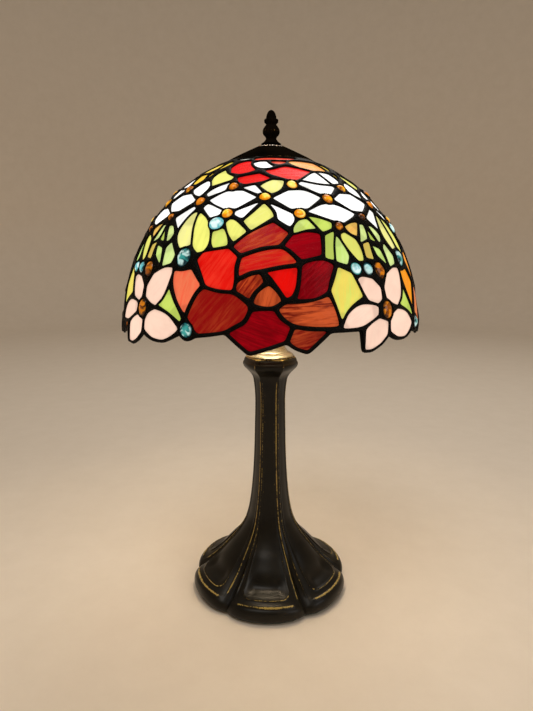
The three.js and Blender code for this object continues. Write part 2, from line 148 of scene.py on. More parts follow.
def lit_glass():
    """Opalescent glass with the bulb behind it: streaks along the sheet, mottling, a painted shade towards
    the lead and a rippled face.
    """
    s = Shader("lit_opal_glass", Roughness=0.2, Emission_Strength=1.0, Specular_IOR_Level=0.07)
    streak = s.attribute("streak", "Vector")
    drawn = s.stretched(streak, (0.045, 0.42, 1.0))
    broad = s.stretched(streak, (0.03, 0.09, 1.0))
    fine = s.ramp(s.noise(drawn, 1.0, 5, 0.66, 0.4), (0.45, 0.0), (0.57, 1.0))
    wide = s.ramp(s.noise(broad, 1.0, 2, 0.5, 0.8), (0.36, 0.0), (0.74, 1.0))
    drift = s.plus(s.times(wide, 0.6), 0.3)
    blend = s.times(s.plus(s.times(fine, drift), s.times(wide, 0.3)), s.attribute("wisp", "Fac"))
    colour = s.mix(s.maths("MINIMUM", blend, 1.0), s.attribute("tint"), s.attribute("vein"))
    cloud = s.ramp(s.noise(s.place(), 55, 3, 0.6), (0.25, 0.93), (0.7, 1.05))
    # Painted shade: the glow is darkened towards the edges of each piece, as if the lead shaded them.
    edge = s.ramp(s.attribute("inside", "Fac"), (0.0, 0.78), (0.4, 1.0))
    glow = s.mix(1.0, s.mix(1.0, colour, cloud, "MULTIPLY"), edge, "MULTIPLY")
    s.link(glow, "Emission Color")
    s.link(s.mix(1.0, colour, (0.06, 0.06, 0.06, 1), "MULTIPLY"), "Base Color")
    ripple = s.plus(s.noise(s.place(), 120, 2, 0.5, 0.4), s.times(fine, 0.25))
    s.bump(ripple, 0.35, 0.0009)
    return s.material


def jewel_glass():
    """Pressed glass cabochon, lit from behind: bright through its thick middle, dark at the edge."""
    s = Shader("pressed_glass_jewel", Roughness=0.1, Emission_Strength=1.0, Specular_IOR_Level=0.4)
    rise = s.attribute("rise", "Fac")
    swirl = s.noise(s.place(), 150, 2, 0.45, 0.8)
    level = s.plus(rise, s.times(s.maths("SUBTRACT", swirl, 0.56), 2.2))
    body = s.mix(s.ramp(level, (0.18, 0.0), (0.7, 1.0)), s.attribute("vein"), s.attribute("tint"))
    blot = s.ramp(s.noise(s.place(), 170, 1.5, 0.4, 0.9), (0.47, 0.0), (0.6, 0.85))
    well_in = s.ramp(rise, (0.1, 0.0), (0.35, 1.0))
    heart = s.mix(s.times(blot, well_in), body, s.attribute("heart"))
    s.link(heart, "Emission Color")
    s.link(s.mix(1.0, body, (0.3, 0.3, 0.3, 1), "MULTIPLY"), "Base Color")
    s.bump(s.noise(s.place(), 260, 2), 0.2, 0.0006)
    return s.material


def patina_lead():
    """Black patinated solder: slightly lumpy, dull and rougher in patches."""
    s = Shader("patinated_solder", Specular_IOR_Level=0.07)
    place = s.place()
    dark, light = (0.0012, 0.0011, 0.001, 1), (0.005, 0.0046, 0.004, 1)
    s.link(s.ramp(s.noise(place, 240, 4), (0.3, dark), (0.75, light)), "Base Color")
    s.link(s.ramp(s.noise(place, 420, 3), (0.25, 0.38), (0.8, 0.66)), "Roughness")
    s.bump(s.noise(place, 520, 4, 0.6), 0.5, 0.0005)
    return s.material


def antique_metal(name, dark, light, gold, metallic, rough, shine, lit_cuts=False):
    """Metal with a dark finish. A value per point on the mesh says where the gold shows through, worn in
    patches.

    With lit_cuts, a value far above 1 marks a cut edge given a painted glow, as if the bulb's light caught
    it."""
    s = Shader(name, Metallic=metallic, Specular_IOR_Level=shine, Emission_Strength=1.0 if lit_cuts else 0.0)
    place = s.place()
    cloud = s.noise(place, 34, 5, 0.62)
    grain = s.noise(place, 900, 3, 0.6)
    rub = s.noise(place, 330, 6, 0.78)
    patch = s.noise(place, 30, 3, 0.55)
    gilt_and_glow = s.attribute("gilt_and_glow", "Fac")
    wear = s.plus(s.times(rub, 1.7), s.times(patch, 0.9))
    worn = s.times(gilt_and_glow, s.maths("SUBTRACT", wear, 0.45))
    finish = s.ramp(cloud, (0.3, dark), (0.72, light))
    s.link(s.mix(s.ramp(worn, (0.54, 0.0), (0.66, 1.0)), finish, gold), "Base Color")
    s.link(s.ramp(s.times(s.plus(cloud, grain), 0.5), (0.3, rough[0]), (0.7, rough[1])), "Roughness")
    if lit_cuts:
        # Painted glow: cut edges marked far above 1 glow warm white.
        glow = s.ramp(s.times(gilt_and_glow, 0.1), (0.12, (0, 0, 0, 1)), (0.2, (1.0, 0.93, 0.82, 1)))
        s.link(glow, "Emission Color")
    s.bump(s.plus(s.times(grain, 0.2), s.noise(place, 110, 2)), 0.1, 0.0005)
    return s.material


def satin_metal(name, dark, light, rough, metallic=1.0):
    """Turned or drawn metal: fine rings round the axis, tarnish in patches."""
    s = Shader(name, Metallic=metallic)
    place = s.place()
    turned = s.noise(s.stretched(place, (60, 60, 2600)), 1.0, 3)
    s.link(s.ramp(s.noise(place, 60, 5, 0.65), (0.3, dark), (0.7, light)), "Base Color")
    s.link(s.ramp(turned, (0.3, rough - 0.1), (0.75, rough + 0.14)), "Roughness")
    s.bump(turned, 0.15, 0.0003)
    return s.material


def plain_stuff(name, dark, light, scale, rough, bump=0.5, sheen=0.0):
    """Felt, rubber, card or phenolic: a fine grain in two near shades."""
    s = Shader(name, Roughness=rough, Sheen_Weight=sheen)
    place = s.place()
    s.link(s.ramp(s.noise(place, scale, 6, 0.7), (0.3, dark), (0.7, light)), "Base Color")
    s.bump(s.noise(place, scale * 3, 4, 0.7), bump, 0.0005)
    return s.material


def frosted_bulb():
    """Lit frosted envelope, mottled by the frost."""
    s = Shader("lit_frosted_bulb", Roughness=0.45, Emission_Strength=2.2)
    frost = s.noise(s.place(), 45, 3)
    s.link(s.ramp(frost, (0.3, (1.0, 0.72, 0.42, 1)), (0.7, (1.0, 0.86, 0.62, 1))), "Emission Color")
    s.link(s.ramp(frost, (0.3, (0.75, 0.72, 0.66, 1)), (0.7, (0.9, 0.88, 0.84, 1))), "Base Color")
    s.bump(s.noise(s.place(), 1400, 3), 0.3, 0.0002)
    return s.material


BRONZE = antique_metal(
    "antique_bronze", (0.003, 0.0025, 0.0015, 1), (0.011, 0.009, 0.005, 1), (0.42, 0.30, 0.08, 1),
    metallic=0.05, rough=(0.25, 0.4), shine=0.24)
CAP_BRONZE = antique_metal(
    "dark_cap_bronze", (0.003, 0.0022, 0.0015, 1), (0.010, 0.007, 0.004, 1), (0.30, 0.17, 0.05, 1),
    metallic=0.0, rough=(0.5, 0.7), shine=0.0, lit_cuts=True)
GLASS = lit_glass()
JEWEL = jewel_glass()
LEAD = patina_lead()
PALE_BRASS = satin_metal("pale_brass", (0.34, 0.30, 0.20, 1), (0.52, 0.47, 0.34, 1), 0.34, metallic=0.6)
BRASS = satin_metal("aged_brass", (0.34, 0.23, 0.08, 1), (0.56, 0.41, 0.17, 1), 0.34)
STEEL = satin_metal("zinc_plated_steel", (0.36, 0.37, 0.38, 1), (0.55, 0.56, 0.57, 1), 0.38)
FELT = plain_stuff("green_felt", (0.010, 0.035, 0.018, 1), (0.022, 0.065, 0.034, 1), 700, 0.95, 0.8, 0.5)
RUBBER = plain_stuff("black_rubber", (0.012, 0.012, 0.012, 1), (0.03, 0.03, 0.03, 1), 500, 0.7)
PHENOLIC = plain_stuff("brown_phenolic", (0.03, 0.014, 0.008, 1), (0.06, 0.028, 0.016, 1), 300, 0.35, 0.2)
CARD = plain_stuff("card_liner", (0.34, 0.25, 0.14, 1), (0.48, 0.37, 0.23, 1), 400, 0.9)
BULB = frosted_bulb()

# ---------------------------------------------------------------- mesh helpers


# How many numbers a point's value has, and what such an attribute is called.
VALUE_KINDS = {1: ("FLOAT", "value"), 3: ("FLOAT_VECTOR", "vector"), 4: ("FLOAT_COLOR", "color")}


def make_piece(name, points, faces, material, body, slot, replaces=(), sharp=40, values=None):
    """A mesh piece from points in millimetres, with extra values per point for its material."""
    mesh = bpy.data.meshes.new(name)
    mesh.from_pydata([tuple(float(c) * MM for c in p) for p in points], [], faces)
    for key, rows in (values or {}).items():
        width = len(rows[0]) if hasattr(rows[0], "__len__") else 1
        kind, field = VALUE_KINDS[width]
        layer = mesh.attributes.new(key, kind, "POINT")
        layer.data.foreach_set(field, np.asarray(rows, dtype=np.float32).ravel())
    mesh.polygons.foreach_set("use_smooth", [True] * len(mesh.polygons))
    mesh.materials.append(material)
    mesh.update()
    mesh.set_sharp_from_angle(angle=math.radians(sharp))
    piece = bpy.data.objects.new(name, mesh)
    scene.collection.objects.link(piece)
    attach(piece, body)
    if replaces:
        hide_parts(*replaces)
    return piece


def polar(radius, degrees, z):
    """A point at a radius and height, counted round from the front."""
    angle = math.radians(degrees)
    return (radius * math.sin(angle), -radius * math.cos(angle), z)


def ring_faces(rows, count, loop=False):
    """Quads between rings of `count` points each."""
    faces = []
    for i in range(rows if loop else rows - 1):
        a = i * count
        b = ((i + 1) % rows) * count
        faces += [(a + j, a + (j + 1) % count, b + (j + 1) % count, b + j) for j in range(count)]
    return faces


def lathe(profile, steps=64, wave=None):
    """Points and faces of a closed body turned about Z. wave(degrees, radius, z) may change a radius."""
    points = []
    for radius, z in profile:
        for i in range(steps):
            degrees = 360 * i / steps
            here = wave(degrees, radius, z) if wave else radius
            points.append(polar(max(here, 0.02), degrees, z))
    return points, ring_faces(len(profile), steps, loop=True)


def spline(before, start, end, after, t):
    """A place on the smooth curve from start (t = 0) to end (t = 1)."""
    return 0.5 * (2 * start + (end - before) * t + (2 * before - 5 * start + 4 * end - after) * t ** 2
                  + (3 * start - 3 * end + after - before) * t ** 3)


def soften(profile, steps):
    """A smooth curve through the points of an open profile."""
    points = [Vector(p) for p in profile]
    count = len(points)
    made = []
    for i in range(count - 1):
        before = points[i - 1] if i else points[0] * 2 - points[1]
        after = points[i + 2] if i < count - 2 else points[-1] * 2 - points[-2]
        start, end = points[i], points[i + 1]
        for k in range(steps):
            made.append(tuple(spline(before, start, end, after, k / steps)))
    made.append(tuple(points[-1]))
    return made


# ---------------------------------------------------------------- dome

DOME_RADIUS = 144.0
DOME_RISE = 168.0
EQUATOR_Z = 273.0
REPEATS = 4
REPEAT_DEG = 360 / REPEATS
FIRST_DEG = -22.5
CROWN_TOP = 72.3
CORNER_DEG = 33

# The dome is drawn on a flat map that keeps shapes: across is the angle round, up is stretched to match.
MAP_UPS = np.radians(np.arange(-6, 80, 0.25))
map_rate = np.hypot(DOME_RADIUS * np.sin(MAP_UPS), DOME_RISE * np.cos(MAP_UPS)) / np.cos(MAP_UPS)
MAP_HEIGHTS = np.concatenate([[0], np.cumsum((map_rate[1:] + map_rate[:-1]) / 2 * np.diff(MAP_UPS))])
MAP_HEIGHTS -= np.interp(0, MAP_UPS, MAP_HEIGHTS)
MAP_TURN = DOME_RADIUS * math.radians(REPEAT_DEG)


def to_map(points):
    """Points given as (degrees round, degrees up), placed on the flat map."""
    given = np.radians(np.asarray(points, dtype=float))
    return np.column_stack([DOME_RADIUS * given[:, 0], np.interp(given[:, 1], MAP_UPS, MAP_HEIGHTS)])


def scale_at(mapped):
    """Real millimetres for one unit of the map."""
    return np.cos(np.interp(mapped[:, 1], MAP_HEIGHTS, MAP_UPS))


def on_dome(mapped, depth):
    """Points of the dome, `depth` under its outer surface."""
    up = np.interp(mapped[:, 1], MAP_HEIGHTS, MAP_UPS)
    around = mapped[:, 0] / DOME_RADIUS
    normal = np.column_stack([np.cos(up) / DOME_RADIUS, np.sin(up) / DOME_RISE])
    normal /= np.linalg.norm(normal, axis=1)[:, None]
    radius = DOME_RADIUS * np.cos(up) - depth * normal[:, 0]
    height = EQUATOR_Z + DOME_RISE * np.sin(up) - depth * normal[:, 1]
    return np.column_stack([radius * np.sin(around), -radius * np.cos(around), height])


def area(loop):
    """Signed area, positive when the loop runs anticlockwise."""
    x, y = loop[:, 0], loop[:, 1]
    return 0.5 * float(np.sum(x * np.roll(y, -1) - y * np.roll(x, -1)))


def outward(loop):
    """A unit vector pointing out of the loop at each of its points."""
    forward = np.roll(loop, -1, axis=0) - np.roll(loop, 1, axis=0)
    normal = np.column_stack([forward[:, 1], -forward[:, 0]])
    return normal / np.linalg.norm(normal, axis=1)[:, None]


def eased(loop, share):
    """The loop with each point drawn towards its two neighbours."""
    return (1 - 2 * share) * loop + share * (np.roll(loop, 1, axis=0) + np.roll(loop, -1, axis=0))


def spaced(loop, spacing):
    """A closed loop with evenly spaced points, one of them on each of its corners."""
    closed = np.vstack([loop, loop[:1]])
    steps = np.linalg.norm(np.diff(closed, axis=0), axis=1)
    along = np.concatenate([[0], np.cumsum(steps)])
    whole = along[-1]

    def at(distance):
        distance = np.mod(distance, whole)
        return np.column_stack([np.interp(distance, along, closed[:, axis]) for axis in (0, 1)])

    reach = 0.8 * spacing
    fine = np.linspace(0, whole, max(60, int(whole / spacing * 6)), endpoint=False)
    before = at(fine) - at(fine - reach)
    after = at(fine + reach) - at(fine)
    cross = before[:, 0] * after[:, 1] - before[:, 1] * after[:, 0]
    turn = np.degrees(np.abs(np.arctan2(cross, np.sum(before * after, axis=1))))
    stops = []
    for i in np.argsort(-turn):
        if turn[i] < CORNER_DEG:
            break
        apart = [abs((fine[i] - s + whole / 2) % whole - whole / 2) for s in stops]
        if min(apart, default=whole) > 1.3 * spacing:
            stops.append(fine[i])
    stops = sorted(stops) or [0.0]
    made = []
    for start, end in zip(stops, stops[1:] + [stops[0] + whole]):
        made += list(np.linspace(start, end, max(1, round((end - start) / spacing)), endpoint=False))
    return at(np.array(made))


def curved_loop(points, spacing):
    """A loop through the points: smooth where it turns a little, a corner where it turns sharply."""
    p = to_map(points)
    if area(p) < 0:
        p = p[::-1]
    ahead = np.roll(p, -1, axis=0) - p
    behind = p - np.roll(p, 1, axis=0)
    cross = behind[:, 0] * ahead[:, 1] - behind[:, 1] * ahead[:, 0]
    turn = np.degrees(np.abs(np.arctan2(cross, np.sum(behind * ahead, axis=1))))
    through = ahead + behind
    through /= np.linalg.norm(through, axis=1)[:, None]
    made = []
    count = len(p)
    for i in range(count):
        k = (i + 1) % count
        chord = ahead[i]
        length = np.linalg.norm(chord)
        leave = chord if turn[i] > CORNER_DEG else through[i] * length
        arrive = chord if turn[k] > CORNER_DEG else through[k] * length
        for t in np.linspace(0, 1, 12, endpoint=False):
            a, b = 2 * t ** 3 - 3 * t ** 2 + 1, t ** 3 - 2 * t ** 2 + t
            made.append(a * p[i] + b * leave + (1 - a) * p[k] + (t ** 3 - t ** 2) * arrive)
    return eased(spaced(np.array(made), spacing), 0.1)


def nearest(points, starts, ends):
    """Distance from each point to the nearest segment, the point there, and that segment's inward side."""
    best = np.full(len(points), 1e9)
    where = np.zeros((len(points), 2))
    side = np.zeros((len(points), 2))
    run = ends - starts
    square = np.maximum(np.sum(run * run, axis=1), 1e-12)
    inward = np.column_stack([-run[:, 1], run[:, 0]]) / np.sqrt(square)[:, None]
    for first in range(0, len(points), 400):
        part = points[first:first + 400]
        off = part[:, None, :] - starts[None]
        share = np.clip(np.sum(off * run[None], axis=2) / square, 0, 1)
        gap = off - share[..., None] * run[None]
        far = np.sum(gap * gap, axis=2)
        pick = np.argmin(far, axis=1)
        rows = np.arange(len(part))
        best[first:first + 400] = np.sqrt(far[rows, pick])
        where[first:first + 400] = part - gap[rows, pick]
        side[first:first + 400] = inward[pick]
    return best, where, side


def shrunk(loop, gap):
    """The loop moved inwards by `gap`, with its corners eased."""
    inner = loop - outward(loop) * gap * 0.7
    for turn in range(40):
        _, where, side = nearest(inner, loop, np.roll(loop, -1, axis=0))
        depth = np.sum((inner - where) * side, axis=1)
        inner = eased(inner + side * (gap - depth)[:, None] * 0.7, 0.1 if turn < 30 else 0.03)
    return inner


def grown(loop, gap):
    """The loop moved outwards by `gap` with its corners kept."""
    return loop + outward(loop) * gap


# ---------------------------------------------------------------- glass pattern

TINTS_ON_SCREEN = {
    "scarlet": (230, 14, 8), "red": (205, 20, 20), "crimson": (168, 2, 18), "garnet": (112, 0, 8),
    "wine": (140, 0, 14), "blood": (136, 8, 10), "ember": (214, 84, 36), "rust": (200, 84, 40),
    "salmon": (236, 118, 80), "peach": (244, 150, 84), "coral": (240, 60, 40),
    "vermilion": (244, 14, 26), "pink": (255, 216, 192), "blush": (252, 200, 182),
    "lime": (206, 226, 104), "moss": (176, 206, 80), "olive": (224, 226, 110),
    "sunlit_olive": (236, 212, 92), "lemon": (246, 244, 122), "straw": (248, 242, 156),
    "gold": (255, 212, 62), "honey": (240, 200, 96), "orange": (250, 158, 28),
    "tangerine": (240, 120, 20), "mint": (200, 228, 120), "pale_mint": (222, 240, 158),
    "milk": (255, 250, 232), "amber": (222, 128, 10), "bright_amber": (255, 190, 24),
    "brown": (132, 66, 8), "umber": (40, 16, 2), "bark": (100, 16, 8), "teal": (48, 140, 134),
    "deep_teal": (6, 44, 50), "ice": (204, 234, 226), "sky": (96, 178, 186), "pearl": (240, 255, 252),
}
TINTS = {name: srgb(*levels) for name, levels in TINTS_ON_SCREEN.items()}
TINTS["snow"] = (1.4, 1.4, 1.38, 1)

# Each piece of one repeat: its field, tint, second tint, strength of the second, direction of its
# streaks, kind of outline, and the outline as (degrees round, degrees up). LINE outlines run along the
# middle of the lead and are moved in. GLAZED outlines are the glass that shows.
LINE, GLAZED = True, False
WHITE = ("daisy", "snow", "milk", 0.5)
PINK = ("blossom", "pink", "blush", 0.3)
PATTERN = {
    # the big rose
    "petal_top": ("rose", "crimson", "ember", 0.8, 28, LINE, [
        (-14.5, 29.2), (-10.4, 26.4), (-3.3, 28.4), (3.3, 29.1), (7.7, 33.3), (1.0, 37.4), (-8.2, 33.6)]),
    "petal_top_right": ("rose", "wine", "crimson", 0.8, 10, LINE, [
        (3.3, 29.1), (7.7, 33.3), (13.5, 34.2), (19.2, 33.7), (18.9, 30), (18.3, 26.3), (10.2, 24.8),
        (9.2, 25.6), (5.8, 28.2)]),
    "swirl": ("rose", "red", "ember", 0.55, 12, LINE, [
        (-11, 19.7), (-11.1, 23.3), (-10.4, 26.4), (-3.3, 28.4), (3.3, 29.1), (5.6, 28.3), (9.2, 25.3),
        (9.6, 24), (3.3, 23.3), (-3, 22.2), (-6.7, 21.6)]),
    "petal_inner_right": ("rose", "scarlet", "red", 0.4, 70, LINE, [
        (-3, 22.2), (3.3, 23.3), (9.6, 24), (9.2, 21.2), (8.5, 17.8), (7.1, 15.3), (4.6, 14.4),
        (2.9, 16.6), (0.6, 19.3), (-0.8, 20.8)]),
    "petal_far_right": ("rose", "garnet", "crimson", 0.7, 40, LINE, [
        (9.6, 24), (12.1, 25.2), (18.3, 25.8), (22.6, 24.2), (20, 19.5), (18.8, 16.3), (14.2, 14.6),
        (7.1, 14.2), (8.5, 17.8), (9.2, 21.2)]),
    "petal_low_right": ("rose", "rust", "bark", 1.1, 4, LINE, [
        (1.5, 12.5), (4.6, 14.3), (10, 14.4), (15, 15.2), (18.8, 16.3), (20.6, 13.3), (22.1, 9.1),
        (22.2, 7.1), (17.9, 7), (11.7, 7.3), (6.9, 8), (3.3, 10.1)]),
    "skirt_right": ("rose", "garnet", "rust", 0.5, 12, LINE, [
        (6.9, 8), (11.7, 7.3), (17.9, 7), (18.8, 6.5), (15.6, 4.2), (11.4, 1), (7.6, 2.1), (4.9, 3.8)]),
    "skirt_middle": ("rose", "garnet", "crimson", 0.7, -20, LINE, [
        (-6, 12.2), (-2.5, 12.5), (1.5, 12.5), (3.3, 10.1), (6.9, 8), (4.9, 3.8), (-0.6, 2.2),
        (-6.5, 0.7), (-10.3, 3.4), (-14, 6.1), (-10.8, 7.6), (-7.9, 9.1)]),
    "petal_low_left": ("rose", "blood", "rust", 0.27, 50, LINE, [
        (-22, 18), (-16.3, 16.9), (-11.5, 16.5), (-6.5, 13.6), (-6, 12.2), (-7.9, 9.1), (-10.8, 7.6),
        (-14, 6.1), (-19.2, 5.3), (-23.4, 4.9), (-25, 6.4), (-27.8, 9.5), (-26.3, 12.8), (-24.2, 16.2)]),
    "petal_left": ("rose", "scarlet", "coral", 0.5, 60, LINE, [
        (-26.9, 25.3), (-24.6, 28), (-20, 28.6), (-14.5, 29.2), (-10.4, 26.4), (-11.2, 23.4), (-11, 19.7),
        (-11.5, 16.5), (-16.3, 16.7), (-20, 17.3), (-22, 18), (-24, 21.3)]),
    "heart_left": ("rose", "garnet", "ember", 0.75, 55, LINE, [
        (-11, 19.7), (-6.7, 21.5), (-3, 22.2), (-1.3, 19.3), (-2.9, 18), (-5, 16.2), (-6.3, 13.9),
        (-9.4, 15.7), (-11.5, 16.5), (-11.6, 18.2)]),
    "heart": ("rose", "rust", "bark", 1.1, 75, LINE, [
        (-6.3, 13.4), (-5, 16.2), (-2.9, 18), (-0.4, 19.2), (2.2, 17.2), (4.4, 14.4), (1, 12.6),
        (-2.5, 12.5)]),
    "sepal": ("leaf_of_next", "salmon", "coral", 0.5, 80, LINE, [
        (54.4, 22.8), (58.4, 22.6), (62.6, 23.3), (67.9, 18.2), (65.8, 16.2), (63.7, 12.8), (62.2, 9.5),
        (60.1, 11.2), (57.2, 14.5), (54.9, 18.7)]),
    "sepal_green": ("blossom", "lime", "moss", 0.5, 60, LINE, [
        (54.3, 18.4), (57, 14.7), (60.1, 11.2), (61.7, 9.1), (60.6, 7.4), (55.5, 9.9), (48.2, 12.3),
        (51.3, 14)]),
    "leaf_by_rose": ("blossom", "sunlit_olive", "lime", 0.75, 84, GLAZED, [
        (23.1, 23.3), (27.9, 21.6), (29.3, 19), (31.2, 15.3), (28.6, 14.2), (26.2, 12.9), (24.3, 11.4),
        (22.7, 9.4), (21.2, 13.2), (19.6, 17), (21.6, 20.4)]),
    # the five-petal blossom
    "blossom_1": (*PINK, 70, GLAZED, [
        (30.2, 19.9), (32.1, 20.5), (36.7, 19.9), (40, 17.4), (39.9, 14.3), (37.9, 13.2), (33.5, 14.3),
        (31.9, 16.6)]),
    "blossom_2": (*PINK, 40, GLAZED, [
        (41.9, 17.4), (44.6, 21), (50, 22.8), (54, 22.9), (54.2, 21.2), (52.1, 15.3), (48.7, 12.3),
        (45.8, 13), (42.3, 14.5)]),
    "blossom_3": (*PINK, 30, GLAZED, [
        (23, 7.2), (25.4, 10.7), (30, 12.8), (35.8, 12.6), (37.7, 12), (37.3, 10.1), (34, 8.7), (30, 7.4),
        (25.4, 7.1)]),
    "blossom_4": (*PINK, 80, GLAZED, [
        (31.6, 6.2), (34.6, 7.8), (37.9, 8.9), (42.1, 7.8), (41.5, 4.5), (38.3, 2.1), (34.2, 0.9),
        (31.2, 0.9)]),
    "blossom_5": (*PINK, -10, GLAZED, [
        (45, 9.7), (48.3, 11), (52.4, 10.4), (55.8, 9.2), (59.6, 6.4), (57.4, 4.9), (53.3, 3.2),
        (49.7, 3.2), (47.1, 3.6), (43.2, 5.2), (43.3, 7.8)]),
    # leaves above
    "bud_1": ("leaf", "lemon", "straw", 0.5, 35, GLAZED, [
        (-10.5, 37.1), (-7.3, 34.2), (1, 38.7), (0, 40.6), (-2.9, 43.3), (-6.8, 40)]),
    "bud_2": ("leaf", "lemon", "olive", 0.7, 70, GLAZED, [
        (-17.5, 36.6), (-16.2, 37.7), (-14.2, 37.3), (-9, 33.7), (-13.3, 30.7), (-15.6, 33.2)]),
    "bud_3": ("leaf", "olive", "lime", 0.5, 85, GLAZED, [
        (-22.1, 33.7), (-20, 34.8), (-17.9, 34.5), (-16.2, 32), (-15.4, 29.6), (-20.6, 28.9),
        (-21.6, 30.6)]),
    "bud_4": ("leaf", "lemon", "olive", 0.5, 85, GLAZED, [
        (59, 40.3), (63.4, 37.8), (66.3, 33.7), (67, 29.9), (65.9, 28), (63.4, 27.5), (60.9, 29.5),
        (59.5, 32.6), (58.6, 35.7), (58.4, 38.7)]),
    "bud_5": ("leaf", "straw", "lemon", 0.5, 85, GLAZED, [
        (56.7, 40.7), (57.4, 39.9), (58, 35.7), (59, 32.2), (59.6, 29.7), (54.9, 28.9), (52.6, 31.2),
        (51.5, 33.7), (52.6, 37), (54.7, 39.9)]),
    "leaf_1": ("leaf", "lime", "pale_mint", 0.6, 50, GLAZED, [
        (8.5, 33.2), (8.7, 34.9), (10.4, 36.8), (12, 37.6), (14.2, 37.8), (17.1, 34.9), (12.8, 34.5)]),
    "leaf_2": ("leaf", "lime", "moss", 0.6, 40, GLAZED, [
        (15.2, 38.7), (20, 38), (24.4, 36.8), (23.7, 35.1), (19.6, 33.9)]),
    "leaf_3": ("leaf", "lime", "moss", 0.7, 85, GLAZED, [
        (20.4, 32.6), (24.2, 33.9), (22.6, 29.6), (21.9, 25.5), (19, 26.1)]),
    "leaf_4": ("leaf", "mint", "pale_mint", 0.6, 85, GLAZED, [
        (25, 32.6), (26.9, 29.6), (28.3, 26.6), (26.9, 24.2), (22.9, 25.1), (23.7, 29.5)]),
    "leaf_5": ("leaf", "olive", "honey", 0.6, 70, GLAZED, [
        (27.1, 33), (29, 33.7), (33.3, 31.6), (34.4, 29), (34.6, 26.8), (34.4, 25.3), (31.9, 25.3),
        (29.3, 28), (27.1, 31.2)]),
    "leaf_6": ("leaf", "honey", "peach", 0.5, 30, GLAZED, [
        (30, 35.5), (33.7, 36.8), (37.5, 37.3), (34.6, 32.8), (31.7, 33.7)]),
    "leaf_7": ("leaf", "pale_mint", "lime", 0.6, 70, GLAZED, [
        (38.5, 36.6), (40.6, 36.6), (40.4, 34), (39.9, 32.2), (35.6, 30.9)]),
    "leaf_8": ("leaf", "lime", "moss", 0.5, 60, GLAZED, [
        (41.7, 34.9), (44.3, 31.2), (41.3, 31.8)]),
    "leaf_9": ("leaf", "pale_mint", "lime", 0.5, 70, GLAZED, [
        (43.5, 36.2), (45.6, 36.2), (47.6, 34.9), (49, 33.2), (47.9, 31.4), (46.1, 31.1)]),
    "reed_1": ("leaf", "honey", "olive", 0.6, 88, GLAZED, [
        (36.2, 30.1), (39.9, 30.9), (39.6, 28), (39.8, 25.7), (36, 26.2)]),
    "reed_2": ("leaf", "mint", "pale_mint", 0.7, 70, GLAZED, [
        (41.2, 29.7), (45.2, 28.7), (46.2, 26), (46.6, 24.1), (42.2, 26.8)]),
    "reed_3": ("leaf", "pale_mint", "mint", 0.6, 75, GLAZED, [
        (49.6, 30.6), (51.6, 28.6), (53.6, 26.6), (52.8, 24.4), (48.3, 23.5), (47.5, 29)]),
    # band of white daisies
    "daisy_left": (*WHITE, 20, GLAZED, [
        (-29.2, 45.2), (-21.7, 48.5), (-13.8, 48.7), (-6.5, 45.8), (-14.6, 41.6), (-20.8, 41.8)]),
    "daisy_middle": (*WHITE, 0, GLAZED, [
        (0.9, 45.4), (8.5, 48.7), (16.3, 48.8), (23.5, 46.2), (15.4, 41.7), (8.5, 41.4)]),
    "daisy_right": (*WHITE, 0, GLAZED, [
        (30.4, 45.6), (36.7, 48.5), (44.6, 48.7), (52.4, 45.2), (45, 41.7), (38, 41.7)]),
    "white_1": (*WHITE, 0, GLAZED, [
        (-14, 50.1), (-8.3, 51.3), (-4.2, 47.7), (-6, 47.3)]),
    "fan_pale": ("daisy", "straw", "lemon", 0.7, 80, GLAZED, [
        (-5.4, 50.8), (-2.4, 52.6), (0.8, 53.8), (6.9, 53.5), (5.4, 50.4), (3.2, 48.5), (0, 47.3)]),
    "white_2": (*WHITE, 30, GLAZED, [
        (-0.2, 43.1), (9.4, 39.2), (8.7, 37.1), (7.1, 35.4), (2.9, 37.7), (2.3, 40.4)]),
    "white_3": (*WHITE, 30, GLAZED, [
        (-5.4, 43.6), (-8.4, 40.9), (-11.3, 38.1), (-14.6, 39.4), (-14.6, 40.4)]),
    "white_4": (*WHITE, 0, GLAZED, [
        (15.4, 40.5), (23.5, 43.3), (30, 43.3), (38.7, 40.5), (36, 39.3), (30, 37.1), (25.5, 37.8)]),
    "white_5": (*WHITE, 0, GLAZED, [
        (14.2, 51.8), (24.6, 47.8), (30, 47.8), (36, 51.3), (35.4, 51.9), (26, 52.1), (16.4, 53.2)]),
    "white_6": ("crown", "snow", "milk", 0.5, 0, GLAZED, [
        (17.2, 54.1), (26, 52.8), (35.2, 52.7), (32.9, 56.4), (30.8, 59.4), (27.6, 58.6)]),
    "white_7": ("crown_white", "snow", "milk", 0.5, 0, GLAZED, [
        (36.1, 53.2), (41.4, 53.4), (44.6, 55.4), (42.2, 59.2), (36, 59.8), (31.9, 59.6), (33.8, 56.6)]),
    "white_8": (*WHITE, 30, GLAZED, [
        (43.8, 50.8), (46.5, 53), (49.7, 54.8), (51.8, 54.2), (54.6, 52.2), (55.4, 50.2), (53.4, 47.2),
        (49.5, 48.1), (46, 49.4)]),
    "white_9": (*WHITE, 10, GLAZED, [
        (56.7, 48.1), (59.7, 50.3), (67.6, 52.9), (66.7, 49), (59.2, 46.7)]),
    "fan_yellow": ("crown", "lemon", "straw", 0.6, 60, GLAZED, [
        (55.9, 61), (53.2, 59), (52, 56.9), (54, 54), (57.2, 51.6), (67.4, 54.3), (67.4, 56),
        (60.5, 58.4)]),
    "white_10": (*WHITE, 70, GLAZED, [
        (55.1, 41.9), (53.4, 42.9), (45.1, 39), (50.1, 35.2), (52.2, 38.5)]),
    "white_11": (*WHITE, 70, GLAZED, [
        (59.4, 42.3), (60.8, 43.6), (64.9, 42.5), (69.0, 41.2), (68.9, 39.6), (67.4, 38.8),
        (64.9, 38.6)]),
    # crown
    "crown_1": ("crown_rose", "vermilion", "coral", 0.6, 35, GLAZED, [
        (-25, 67.5), (-22, 67.9), (-18.2, 67.6), (-16.2, 64.2), (-10.2, 59.7), (-14.2, 58.3),
